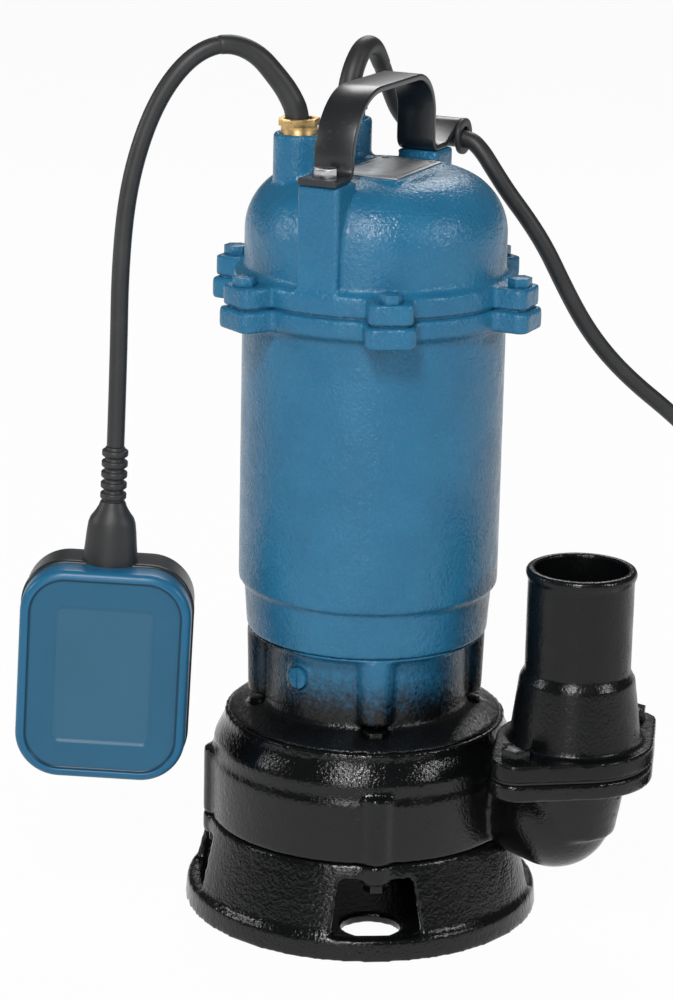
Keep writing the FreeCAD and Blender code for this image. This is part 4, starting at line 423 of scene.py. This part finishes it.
@dataclass(frozen=True)
class StrapPaint:
    """Satin black paint on pressed steel, scuffed thin along the strap."""

    # Direction of the scuffs, their features to the metre along and across, and those of the bump
    TURN, ALONG, ACROSS, PIMPLES = -math.pi / 3, 90.0, 700.0, 500.0

    name: str

    def build(self) -> bpy.types.Material:
        """Stretched noise makes fine scuffs that are paler and rougher than the paint."""
        g = Graph(self.name)
        turned = g.add("Mapping", {"Vector": g.where, "Rotation": (0.0, 0.0, self.TURN),
                                   "Scale": (self.ALONG, self.ACROSS, self.ACROSS)}).outputs[0]
        lines = g.add("TexNoise", {"Vector": turned, "Scale": 1.0, "Detail": 4.0}).outputs["Fac"]
        scuff = g.span(lines, low=0.6, high=0.78, end=0.5)
        colour = g.blend(scuff, rgba(STRAP_BLACK), rgba(STRAP_SCUFF))
        g.bump((g.noise(self.PIMPLES), 0.2, 0.0002))
        rough = g.span(scuff, low=0.0, high=0.5, start=0.32, end=0.5)
        return g.surface(Base_Color=colour, Roughness=rough, Coat_Weight=0.2, Coat_Roughness=0.25)


@dataclass(frozen=True)
class Metal:
    """Bare metal with broad stains and a broken reflection."""

    # Features to the metre
    STAINS, ROUGH, GRAIN = 120.0, 400.0, 1400.0

    name: str
    colour: Point
    roughness: float
    stain: float

    def build(self) -> bpy.types.Material:
        """Broad stains darken the metal, and fine noise breaks up the reflection."""
        g = Graph(self.name)
        stain = g.span(g.noise(self.STAINS, detail=5.0), low=0.4, high=0.75, end=self.stain)
        colour = g.blend(stain, rgba(self.colour), tinted(self.colour, gain=0.35))
        rough = g.uneven(self.ROUGH, self.roughness - 0.08, self.roughness + 0.1)
        g.bump((g.noise(self.GRAIN, detail=2.0), 0.15, 0.0001))
        return g.surface(Base_Color=colour, Roughness=rough, Metallic=1.0)


@dataclass(frozen=True)
class FloatShell:
    """Smooth hard plastic: moulded colour with a faint cloud and light handling dirt."""

    # Features to the metre
    CLOUDS, RIPPLE, SPECKS = 22.0, 240.0, 330.0

    name: str
    colour: Point
    dirt: Point

    def build(self) -> bpy.types.Material:
        """Smooth gloss with a faint cloud and small dirt specks."""
        g = Graph(self.name)
        cloud = g.span(g.noise(self.CLOUDS), low=0.35, high=0.7, end=0.4)
        colour = g.blend(cloud, rgba(self.colour), tinted(self.colour, gain=0.78))
        noise = g.noise(self.SPECKS, detail=6.0, roughness=0.75)
        colour = g.blend(g.span(noise, low=0.68, high=0.74, end=0.7), colour, rgba(self.dirt))
        g.bump((g.noise(self.RIPPLE, detail=2.0), 0.12, 0.0003))
        return g.surface(Base_Color=colour, Roughness=0.34, Specular_IOR_Level=0.35)


class Finishes:
    """Every finish of the pump, built once."""

    def __init__(self) -> None:
        """Build the materials."""
        self.blue = CastPaint("blue_cast", BLUE, BLUE_DEEP, roughness=0.22, grain=0.8).build()
        self.housing = CastPaint("blue_cast_housing", BLUE, BLUE_DEEP, roughness=0.24, grain=0.8,
                                 fleck=1.0).build()
        self.fading = CastPaint("blue_to_black", BLUE, BLUE_DEEP, roughness=0.24, grain=0.7,
                                fade_low=0.108, fade_high=0.133).build()
        self.black = CastPaint("black_cast", BLACK, BLACK_DEEP, roughness=0.1, grain=1.0,
                               gloss=0.36, relief=0.0004).build()
        self.tail = CastPaint("black_tail", BLACK, BLACK_DEEP, roughness=0.24, grain=0.8,
                              gloss=0.3, relief=0.0003).build()
        self.strap = StrapPaint("black_strap").build()
        self.rubber = Rubber("cable_sheath", (0.02, 0.0205, 0.0215), 0.48).build()
        self.seal = Rubber("seal_rubber", (0.012, 0.012, 0.013), 0.6).build()
        self.brass = Metal("brass_gland", (0.66, 0.45, 0.2), 0.42, 0.4).build()
        self.zinc = Metal("zinc_bolt", (0.62, 0.63, 0.64), 0.34, 0.35).build()
        self.plate = Metal("bare_plate", (0.5, 0.51, 0.52), 0.5, 0.35).build()
        self.steel = Metal("ground_steel", (0.56, 0.56, 0.57), 0.25, 0.15).build()
        self.iron = Metal("raw_iron", (0.16, 0.155, 0.15), 0.6, 0.4).build()
        self.copper = Metal("copper_winding", (0.72, 0.3, 0.14), 0.35, 0.3).build()
        self.float_blue = FloatShell("float_blue", (0.012, 0.115, 0.225), FLOAT_DIRT).build()
        self.float_line = FloatShell("float_line", (0.005, 0.045, 0.09), FLOAT_DIRT).build()
        self.float_field = FloatShell("float_field", (0.014, 0.102, 0.188), FLOAT_DIRT).build()
        self.float_panel = FloatShell("float_panel", (0.026, 0.112, 0.192),
                                      (0.01, 0.035, 0.065)).build()
        self.float_black = FloatShell("float_black", (0.016, 0.018, 0.021),
                                      (0.05, 0.05, 0.05)).build()
        self.pale = FloatShell("pale_plastic", (0.62, 0.61, 0.57), (0.3, 0.28, 0.24)).build()

    def shown_as_they_are(self) -> dict[str, bpy.types.Material]:
        """Finish of every CAD node that no piece made here stands for."""
        steel = ("shaft", "impeller_key", "lower_bearing_outer_race", "lower_bearing_inner_race",
                 "lower_bearing_balls", "upper_bearing_outer_race", "upper_bearing_inner_race",
                 "upper_bearing_balls", "wave_washer", "switch_lever", "float_ball", "plug_pins")
        iron = ("impeller", "rotor_core", "stator_core", "bearing_bracket")
        seals = ("casing_seal", "outlet_gasket", "seal_bellows", "lip_seal", "cable_seals",
                 "seal_face")
        found = {name: self.steel for name in steel}
        found.update({name: self.iron for name in iron})
        found.update({name: self.seal for name in seals})
        found.update({"impeller_nut": self.zinc, "rotor_end_rings": self.plate,
                      "capacitor": self.plate, "housing_gasket": self.blue,
                      "nameplate_rivets": self.plate, "stator_winding": self.copper,
                      "seal_seat": self.pale, "terminal_block": self.pale,
                      "float_microswitch": self.float_black, "coil_tie": self.float_black,
                      "power_plug": self.rubber})
        return found


def dress(obj: bpy.types.Object, material: bpy.types.Material, slot: Slot, body: str,
          *nodes: str) -> bpy.types.Object:
    """Give a finished piece its material, and let it stand for its CAD nodes.

    Args:
        obj: The piece.
        material: Its finish.
        slot: Its slot; not used.
        body: The body that it rides on, or nothing for a piece that rides on none.
        *nodes: The CAD nodes that it stands for.

    Returns:
        The piece.
    """
    obj.data.materials.clear()
    obj.data.materials.append(material)
    if body:
        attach(obj, body)
    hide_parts(*nodes)
    LOG.info("%s: %s", obj.name, ", ".join(nodes))
    return obj


# Camera and room

# Name, place, width, power in watts, and height where the lamp isn't square
LAMPS = (("key", (-0.45, -1.55, 1.75), 0.4, 26.0, None),
         ("strip", (-0.5, -1.65, 0.85), 0.22, 11.0, 1.3),
         ("fill", (1.5, -1.0, 1.0), 0.35, 9.0, None),
         ("side", (-1.6, 0.1, 0.8), 0.35, 6.0, None),
         ("back", (0.3, 1.5, 1.5), 0.9, 14.0, None))


@dataclass
class Studio:
    """The camera fitted to the photograph, five soft lamps and a white floor.

    Angles are in radians. The camera looks at the target from the distance, pitched down and
    rolled, and the whole is turned by the heading about Z.
    """

    focal_pixels: float = 3350.81
    frame_width: int = 673
    sensor_width: float = 36.0
    clip_end: float = 20.0
    pitch: float = 0.275150872
    roll: float = 0.0216224561
    distance: float = 1.58801274
    target: Point = (-0.0156952803, 0.0, 0.199447774)
    heading: float = math.radians(5.17)
    lamp_aim: Point = (0.0, 0.0, 0.2)
    floor_half: float = 6.0
    floor_z: float = -0.0002
    floor_colour: float = 0.8
    floor_share: float = 0.96
    world_strength: float = 0.1

    def camera(self) -> None:
        """Place the camera: forward is pitched down, then rolled, then turned by the heading."""
        forward = np.array([0.0, math.cos(self.pitch), -math.sin(self.pitch)])
        right = np.array([1.0, 0.0, 0.0])
        up = np.cross(right, forward)
        cos_r, sin_r = math.cos(self.roll), math.sin(self.roll)
        right, up = right * cos_r + up * sin_r, up * cos_r - right * sin_r
        place = np.array(self.target) - forward * self.distance
        cos_h, sin_h = math.cos(self.heading), math.sin(self.heading)
        turn = np.array([[cos_h, sin_h, 0.0], [-sin_h, cos_h, 0.0], [0.0, 0.0, 1.0]])
        matrix = np.eye(4)
        matrix[:3, :3] = turn @ np.stack([right, up, -forward], 1)
        matrix[:3, 3] = turn @ place
        data = bpy.data.cameras.new("camera")
        data.sensor_fit = "HORIZONTAL"
        data.sensor_width = self.sensor_width
        data.lens = self.focal_pixels / self.frame_width * self.sensor_width
        data.clip_end = self.clip_end
        camera = placed("camera", data)
        camera.matrix_world = Matrix(matrix.tolist())
        bpy.context.scene.camera = camera

    def lamp(self, name: str, place: Point, width: float, power: float,
             height: float | None) -> None:
        """A soft lamp, square unless a height is given, that looks at the pump's middle."""
        data = bpy.data.lights.new(name, "AREA")
        data.shape = "RECTANGLE"
        data.size = width
        data.size_y = height or width
        data.energy = power
        lamp = placed(name, data)
        lamp.location = place
        x, y, z = np.array(place) - np.array(self.lamp_aim)
        lamp.rotation_euler = (math.atan2(math.hypot(x, y), z), 0.0,
                               math.atan2(y, x) + math.pi / 2)

    def white(self) -> bpy.types.Material:
        """A matt white that camera, glossy and transmission rays see mostly as plain white."""
        g = Graph("floor_white")
        path = g.add("LightPath")
        seen = g.math("MAXIMUM", path.outputs["Is Camera Ray"], path.outputs["Is Glossy Ray"])
        seen = g.math("MAXIMUM", seen, path.outputs["Is Transmission Ray"])
        glow = g.add("Emission", {"Strength": 1.0}).outputs[0]
        g.surface(Base_Color=rgba((self.floor_colour,) * 3), Roughness=0.9)
        share = g.math("MULTIPLY", seen, self.floor_share)
        mix = g.add("MixShader", {0: share, 1: g.shader.outputs[0], 2: glow})
        out = g.tree.nodes["Material Output"]
        g.tree.links.new(mix.outputs[0], out.inputs["Surface"])
        return g.material

    def world(self) -> None:
        """A world that is plain white to the camera and gives everything else a faint light."""
        world = bpy.data.worlds.new("studio")
        bpy.context.scene.world = world
        world.use_nodes = True
        tree = world.node_tree
        background = tree.nodes["Background"]
        path = tree.nodes.new("ShaderNodeLightPath")
        strength = tree.nodes.new("ShaderNodeMapRange")
        strength.inputs["To Min"].default_value = self.world_strength
        tree.links.new(path.outputs["Is Camera Ray"], strength.inputs["Value"])
        tree.links.new(strength.outputs["Result"], background.inputs["Strength"])
        background.inputs["Color"].default_value = (1.0, 1.0, 1.0, 1.0)

    def room(self) -> None:
        """A large floor, the world and the lamps."""
        half, z = self.floor_half, self.floor_z
        mesh = bpy.data.meshes.new("floor")
        mesh.from_pydata([(-half, -half, z), (half, -half, z), (half, half, z), (-half, half, z)],
                         [], [(0, 1, 2, 3)])
        floor = placed("floor", mesh)
        floor.data.materials.append(self.white())
        self.world()
        for lamp in LAMPS:
            self.lamp(*lamp)
        bpy.context.scene.view_settings.view_transform = "Standard"


# Cables; routes and radii are in millimetres

FLOAT_ROUTE = (
    (-37.25, -8.52, 359.5), (-37.25, -8.52, 383.5), (-41.9, -9.0, 394.0), (-47.6, -9.7, 402.0),
    (-57.5, -11.0, 413.5), (-71.0, -13.4, 418.5), (-85.5, -15.6, 413.5), (-98.5, -17.5, 399.0),
    (-108.5, -19.2, 378.0), (-115.8, -20.4, 350.0), (-118.9, -20.8, 315.0),
    (-119.4, -21.0, 275.0), (-120.7, -21.2, 232.2))
POWER_ROUTE = (
    (-11.25, 36.52, 359.5), (-11.25, 36.52, 383.0), (-10.4, 37.6, 392.0), (-8.0, 41.0, 400.5),
    (-3.6, 47.2, 408.0), (2.3, 57.2, 408.0), (8.0, 67.3, 396.0), (13.0, 74.6, 382.0),
    (17.6, 76.6, 372.0), (26.0, 71.8, 363.6), (49.2, 58.4, 363.6), (55.3, 54.3, 358.0),
    (61.0, 51.2, 349.0), (68.0, 49.0, 338.5), (77.3, 47.9, 326.5), (87.0, 48.0, 312.0),
    (96.5, 49.5, 293.5), (105.5, 51.8, 277.5), (114.5, 54.5, 264.5), (125.0, 57.3, 252.3),
    (137.5, 60.2, 240.4), (151.5, 63.2, 228.9), (165.0, 67.5, 216.5), (176.0, 73.5, 200.5),
    (184.0, 80.0, 181.0), (190.0, 87.0, 159.5), (195.0, 94.0, 136.5), (199.3, 100.5, 113.0),
    (203.0, 106.5, 89.5), (206.5, 111.3, 67.5), (211.0, 115.2, 46.5), (219.0, 117.3, 28.0),
    (231.5, 118.0, 13.0), (249.5, 117.4, 5.2), (267.8, 118.3, 5.2))
PLUG_ROUTE = (
    (344.3, 36.0, 31.6), (347.1, 22.0, 28.0), (350.6, 6.0, 20.4), (353.6, -8.0, 18.7),
    (355.2, -16.1, 18.7))


@dataclass
class Coil:
    """The cable's spare length: four layers of turns that spiral in and out on the floor."""

    centre: tuple[float, float] = (276.0, 50.0)
    inner: float = 38.0
    pitch: float = 9.1
    turns: float = 3.3125
    layers: int = 4
    base: float = 5.2
    per_turn: int = 16

    def points(self) -> np.ndarray:
        """Control points of the coil.

        The angle runs evenly; the radius falls and rises with each layer, divided by the cosine of
        half a step because the curve cuts inside its control points; the height climbs one pitch
        over half a turn where a layer ends.
        """
        span = 2 * np.pi * self.turns
        count = int(round(self.per_turn * self.turns * self.layers))
        angle = np.linspace(0.0, span * self.layers, count + 1)[1:]
        layer = np.minimum((angle / span).astype(int), self.layers - 1)
        share = angle / span - layer
        outward = np.where(layer % 2 == 0, 1 - share, share)
        radius = self.inner + self.pitch * self.turns * outward
        radius = radius / math.cos(math.pi / self.per_turn)
        edge = np.round(angle / span)
        near = np.abs(angle - edge * span) < np.pi / 2
        inside = (edge > 0) & (edge < self.layers) & near
        step = np.clip((angle - edge * span + np.pi / 2) / np.pi, 0, 1)
        smooth = step * step * (3 - 2 * step)
        height = self.base + self.pitch * np.where(inside, edge - 1 + smooth, layer)
        way = np.pi / 2 - angle
        return np.stack([self.centre[0] + radius * np.cos(way),
                         self.centre[1] + radius * np.sin(way), height], 1)


@dataclass
class Cable:
    """A rubber-sheathed cable on one smooth curve, with a tapered sleeve at its gland.

    The sleeve starts a little way along the curve, inside the gland, and its last ring is narrower
    than the cable, so that it closes onto it. across is any direction that the first stretch of
    the curve never takes, and only sets where the sleeve's seam is. order and steps are the
    spline's order and resolution, and round_steps is the resolution of its round section.
    """

    name: str
    route: np.ndarray
    radius: float = 4.1
    sleeve_root: float = 5.85
    sleeve_tip: float = 4.35
    sleeve_start: float = 4.0
    sleeve_length: float = 78.0
    sleeve_rings: int = 70
    sleeve_sides: int = 36
    lip_share: float = 0.98
    order: int = 3
    steps: int = 6
    round_steps: int = 6
    across: Point = (0.33, -0.94, 0.05)

    def curve(self) -> bpy.types.Object:
        """A NURBS spline whose control points are the route's."""
        data = bpy.data.curves.new(self.name, "CURVE")
        data.dimensions = "3D"
        data.resolution_u = self.steps
        data.use_fill_caps = True
        spline = data.splines.new("NURBS")
        spline.points.add(len(self.route) - 1)
        values = np.concatenate([self.route * MM, np.ones((len(self.route), 1))], 1)
        spline.points.foreach_set("co", values.ravel().tolist())
        spline.order_u = self.order
        spline.use_endpoint_u = True
        return placed(self.name, data)

    def line(self, obj: bpy.types.Object) -> np.ndarray:
        """Points along the spline itself, read while it has no thickness."""
        depsgraph = bpy.context.evaluated_depsgraph_get()
        mesh = bpy.data.meshes.new_from_object(obj.evaluated_get(depsgraph), depsgraph=depsgraph)
        points = np.zeros(len(mesh.vertices) * 3)
        mesh.vertices.foreach_get("co", points)
        bpy.data.meshes.remove(mesh)
        return points.reshape(-1, 3)

    def sleeve(self, points: np.ndarray) -> bpy.types.Object:
        """A tube round the first stretch of the line.

        Each ring is square to the line; its radius falls evenly from root to tip.
        """
        gaps = np.linalg.norm(np.diff(points, axis=0), axis=1)
        travel = np.concatenate([[0.0], np.cumsum(gaps)])
        stops = np.linspace(self.sleeve_start * MM, self.sleeve_length * MM, self.sleeve_rings)
        centre = np.stack([np.interp(stops, travel, points[:, axis]) for axis in range(3)], 1)
        ahead = np.gradient(centre, axis=0)
        ahead /= np.linalg.norm(ahead, axis=1)[:, None]
        side = np.cross(ahead, np.array(self.across))
        side /= np.linalg.norm(side, axis=1)[:, None]
        up = np.cross(ahead, side)
        share = (stops - stops[0]) / (stops[-1] - stops[0])
        radius = (self.sleeve_root + (self.sleeve_tip - self.sleeve_root) * share) * MM
        radius[-1] = self.radius * MM * self.lip_share
        turn = np.linspace(0, 2 * np.pi, self.sleeve_sides, endpoint=False)
        cos_t, sin_t = np.cos(turn)[None, :, None], np.sin(turn)[None, :, None]
        spokes = side[:, None] * cos_t + up[:, None] * sin_t
        return ring_surface(self.name + "_taper", centre[:, None] + radius[:, None, None] * spokes)

    def build(self, material: bpy.types.Material, exit_at: Point, length: float, far_end: str,
              lay: str, nodes: tuple[str, ...], pieces: tuple[str, ...]) -> None:
        """Args:
            material: The sheath's finish.
            exit_at: Where the cable leaves its gland, in metres; not used.
            length: Real length in metres; not used.
            far_end: What is on the far end; not used.
            lay: How it lies; not used.
            nodes: CAD nodes that the cable stands for, the sleeve's own node last.
            pieces: Names of CAD nodes that go with the cable; not used.
        """
        obj = self.curve()
        sleeve = self.sleeve(self.line(obj))
        obj.data.bevel_depth = self.radius * MM
        obj.data.bevel_resolution = self.round_steps
        dress(obj, material, Slot.RUBBER, "pump_body", *nodes[:-1])
        dress(sleeve, material, Slot.RUBBER, "pump_body", nodes[-1])


def build_cables(looks: Finishes) -> None:
    """The float's short cable, and the mains cable with its coil and the stretch to its plug."""
    Cable("float_lead", np.array(FLOAT_ROUTE)).build(
        looks.rubber, (-0.03725, -0.00852, 0.3835), 0.279, "object", "hanging",
        ("float_cable", "float_cable_sleeve"), ())
    route = np.concatenate([np.array(POWER_ROUTE), Coil().points(), np.array(PLUG_ROUTE)])
    Cable("mains_lead", route).build(
        looks.rubber, (-0.01125, 0.03652, 0.3835), 5.097, "plug", "coiled",
        ("power_cable", "power_coil", "power_cable_sleeve"),
        ("power_plug", "plug_pins", "coil_tie"))


# Float switch, in millimetres

# Boot from its skirt on the case to the shoulder under the relief, as (radius, height)
BOOT_PROFILE = ((12.6, -51.4), (13.0, -50.6), (13.0, -42.0), (12.7, -39.0), (12.1, -33.0),
                (11.6, -27.0), (11.0, -22.5), (10.1, -20.0), (8.2, -17.4), (6.6, -14.6),
                (5.9, -12.6), (5.6, -12.1))
# Levels from the rim inwards, y counted from the face. Front: the step with the border line, the
# field, the step to the panel and the panel. Back: the step and the sunk middle.
FRONT_LEVELS = ((3.8, 3.7, 0.0, 0.0), (4.2, 4.1, 0.35, 0.0), (4.6, 4.5, 1.5, 0.0),
                (5.3, 5.1, 1.7, 0.0), (16.4, 16.4, 1.2, 0.4), (17.0, 18.0, 1.25, 0.6),
                (17.4, 18.4, 1.9, 0.8), (18.2, 19.0, 2.0, 1.0), (30.0, 20.4, 2.0, 10.0))
BACK_LEVELS = ((9.0, 8.8, 0.0, 0.0), (9.8, 9.4, -1.0, 0.0), (26.0, 20.0, -1.0, 6.0))


def shifted(levels: tuple[Level, ...], y: float) -> list[Level]:
    """Levels moved along Y."""
    return [(inset, tighter, y + depth, extra) for inset, tighter, depth, extra in levels]


@dataclass
class FloatCase:
    """The float in its own frame: the bend of its cable relief is the origin, and it hangs down.

    The case is wide along X, tall along Z and thin along Y, its front facing -Y. Both halves are
    lofts through levels, and a level is (inset of the sides, inset of the corner's radius, y,
    extra inset of the height). line_ring is the level of the front half where its dark border
    line begins.
    """

    origin: Point = (-121.3, -21.2, 218.0)
    facing: float = math.radians(-5.2)
    tilt: float = math.radians(2.4)
    half_width: float = 39.75
    half_height: float = 50.5
    centre_z: float = -92.0
    corner: float = 21.0
    least_corner: float = 0.6
    front_face: float = -20.75
    seam: float = -6.5
    seam_gap: float = 0.1
    rear_face: float = 20.75
    front_round: float = 3.4
    rear_round: float = 5.0
    inner_round: float = 1.9
    round_levels: int = 10
    sides: int = 160
    turned_sides: int = 48
    wall: float = 2.6
    panel_wall: float = 3.6
    line_ring: int = 17
    boot_depth: float = 0.88
    bend_top: float = 13.0
    bend_low: float = -11.0

    def to_frame(self, points: np.ndarray) -> np.ndarray:
        """Turn by the tilt about Y, then by the facing about Z, then shift, giving metres."""
        cos_t, sin_t = math.cos(self.tilt), math.sin(self.tilt)
        cos_f, sin_f = math.cos(self.facing), math.sin(self.facing)
        x, y, z = points[..., 0], points[..., 1], points[..., 2]
        x, z = x * cos_t + z * sin_t, z * cos_t - x * sin_t
        x, y = x * cos_f - y * sin_f, x * sin_f + y * cos_f
        return (np.stack([x, y, z], -1) + np.array(self.origin)) * MM

    def outline(self, half_w: float, half_h: float, corner: float) -> np.ndarray:
        """A rounded rectangle as (x, z) points, as many as the case has sides.

        Half of them are shared out over the four corner arcs and half over the straight stretches
        between them; an arc's centre is set in by the corner's radius.
        """
        quarter = self.sides // 4
        arc_count = quarter // 2
        turn = np.linspace(0, np.pi / 2, arc_count)
        arcs = []
        for index, (across, up) in enumerate(((1, 1), (-1, 1), (-1, -1), (1, -1))):
            way = turn + index * np.pi / 2
            arcs.append(np.stack([across * (half_w - corner) + corner * np.cos(way),
                                  up * (half_h - corner) + corner * np.sin(way)], 1))
        share = np.linspace(0, 1, quarter - arc_count + 2)[1:-1, None]
        points = []
        for arc, following in zip(arcs, arcs[1:] + arcs[:1]):
            points += [arc, arc[-1] + (following[0] - arc[-1]) * share]
        return np.concatenate(points)

    def loft(self, name: str, levels: list[Level]) -> bpy.types.Object:
        """A closed surface through levels, its rings turned over where they go towards +Y."""
        rings = []
        for inset, tighter, y, extra in levels:
            ring = self.outline(self.half_width - inset, self.half_height - inset - extra,
                                max(self.corner - tighter, self.least_corner))
            rings.append(np.stack([ring[:, 0], np.full(len(ring), y),
                                   ring[:, 1] + self.centre_z], 1))
        rings = np.stack(rings)
        if levels[0][2] < levels[-1][2]:
            rings = rings[:, ::-1]
        return ring_surface(name, self.to_frame(rings))

    def hollow(self, floor: float, rim: float) -> list[Level]:
        """Levels of a half's inner face, from its middle out and up to the seam."""
        inwards = math.copysign(self.inner_round, rim - floor)
        near = self.wall + self.inner_round
        return [(30.0, 20.4, floor, 10.0), (near, near, floor, 0.0),
                (self.wall, self.wall, floor + inwards, 0.0), (self.wall, self.wall, rim, 0.0)]

    def rounded(self, face: float, radius: float) -> list[Level]:
        """Levels of a half's outer round, from its side to its face.

        The radius is added to the face's y, so it is negative for the rear half.
        """
        levels = []
        for turn in np.linspace(0, np.pi / 2, self.round_levels):
            inset = abs(radius) * (1 - math.cos(turn))
            levels.append((inset, inset, face + radius * (1 - math.sin(turn)), 0.0))
        return levels

    def front(self) -> bpy.types.Object:
        """Front half: hollow, with a rounded rim, a step down to the field, and a sunk panel."""
        face, edge = self.front_face, self.seam - self.seam_gap
        levels = self.hollow(face + self.panel_wall, edge)
        levels += [(0.3, 0.3, edge, 0.0), (0.0, 0.0, self.seam - 1.2, 0.0)]
        levels += self.rounded(face, self.front_round)
        levels += shifted(FRONT_LEVELS, face)
        return self.loft("float_front", levels)

    def rear(self) -> bpy.types.Object:
        """Rear half: a hollow rounded tray with a raised band at the seam and a sunk back."""
        face, edge = self.rear_face, self.seam + self.seam_gap
        levels = self.hollow(face - self.panel_wall, edge)
        levels += [(0.2, 0.2, edge, 0.0), (-0.7, -0.5, self.seam + 0.6, 0.0),
                   (-0.8, -0.5, self.seam + 3.4, 0.0), (0.0, 0.0, self.seam + 4.2, 0.0)]
        levels += self.rounded(face, -self.rear_round)
        levels += shifted(BACK_LEVELS, face)
        return self.loft("float_rear", levels)

    def turned(self, name: str, profile: tuple[tuple[float, float], ...],
               depth: float = 1.0) -> bpy.types.Object:
        """A piece round the cable's axis from (radius, height), flattened along Y by a share."""
        turn = np.linspace(0, 2 * np.pi, self.turned_sides, endpoint=False)
        radius, height = np.array(profile).T[..., None]
        rings = np.stack([radius * np.cos(turn), radius * np.sin(turn) * depth,
                          np.broadcast_to(height, (len(profile), self.turned_sides))], -1)
        return ring_surface(name, self.to_frame(rings))

    def relief(self) -> bpy.types.Object:
        """Cable relief of five soft ribs: the radius swells to each rib as a rounded step."""
        low, count, pitch, wide = -12.0, 5, 5.1, 3.2
        root, shoulder, crest = 4.7, 5.7, 6.1
        near, far = 0.15, 0.6
        profile = [(5.2, low), (root, low + 0.5)]
        for index in range(count):
            start = low + 1.0 + index * pitch
            profile += [(root, start), (shoulder, start + near), (crest, start + far),
                        (crest, start + wide - far), (shoulder, start + wide - near),
                        (root, start + wide)]
        profile += [(4.6, 13.6), (4.2, 14.0)]
        return self.turned("float_relief_ribs", tuple(profile))

    def build(self, looks: Finishes) -> None:
        """Make the case, boot and relief; the relief rides on no body and has its transform baked.
        """
        front = dress(self.front(), looks.float_blue, Slot.FLOAT_BLUE, "float",
                      "float_front_shell")
        colour_zones(front, self.sides,
                     (self.line_ring, self.line_ring + 2, self.line_ring + 4),
                     (looks.float_line, looks.float_field, looks.float_panel))
        dress(self.rear(), looks.float_black, Slot.FLOAT_BLACK, "float", "float_rear_shell")
        boot = self.turned("float_boot_rubber", BOOT_PROFILE, self.boot_depth)
        dress(boot, looks.rubber, Slot.RUBBER, "float", "float_boot")
        relief = self.relief()
        dress(relief, looks.rubber, Slot.RUBBER, "", "float_relief")
        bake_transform(relief)


# Cast and pressed pieces

def build_castings(frame: dict, looks: Finishes) -> None:
    """Remesh and relax each painted casting until its edges are as soft as the foundry's."""
    plan = (("base_stand", VOXEL, 7, looks.black, Slot.BLACK_CAST),
            ("pump_casing", VOXEL, 9, looks.black, Slot.BLACK_CAST),
            ("hose_tail", FINE_VOXEL, 6, looks.tail, Slot.BLACK_CAST),
            ("oil_chamber", VOXEL, 8, looks.fading, Slot.BLUE_CAST),
            ("motor_housing", VOXEL, 6, looks.housing, Slot.BLUE_CAST),
            ("top_cover", FINE_VOXEL, 9, looks.blue, Slot.BLUE_CAST))
    for node, voxel, passes, material, slot in plan:
        dress(cast_copy(frame, node, voxel, passes), material, slot, "pump_body", node)


def build_fittings(frame: dict, looks: Finishes) -> None:
    """Break the edges of bolts, glands, strap and plate by a bevel of the width given."""
    plan = (("stand_bolts", 0.0005, looks.black, Slot.BLACK_CAST),
            ("casing_bolts", 0.0005, looks.black, Slot.BLACK_CAST),
            ("outlet_bolts", 0.0006, looks.black, Slot.BLACK_CAST),
            ("cover_bolts", 0.0006, looks.blue, Slot.BLUE_CAST),
            ("oil_plug", 0.0004, looks.blue, Slot.BLUE_CAST),
            ("handle", 0.0006, looks.strap, Slot.STRAP),
            ("handle_bolts", 0.0005, looks.zinc, Slot.ZINC),
            ("float_gland_nut", 0.0005, looks.brass, Slot.BRASS),
            ("power_gland_nut", 0.0005, looks.blue, Slot.BLUE_CAST),
            ("cable_grommet", 0.0005, looks.rubber, Slot.RUBBER),
            ("nameplate", 0.0002, looks.plate, Slot.PLATE))
    for node, width, material, slot in plan:
        dress(softened(frame, node, width), material, slot, "pump_body", node)


def main() -> None:
    """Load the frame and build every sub-assembly."""
    logging.basicConfig(level=logging.INFO, format="%(name)s %(message)s")
    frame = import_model()
    studio = Studio()
    studio.camera()
    studio.room()
    looks = Finishes()
    build_cables(looks)
    for name, material in looks.shown_as_they_are().items():
        mesh = frame["nodes"][name].data
        mesh.materials.clear()
        mesh.materials.append(material)
    build_castings(frame, looks)
    build_fittings(frame, looks)
    FloatCase().build(looks)


if __name__ == "__main__":
    main()
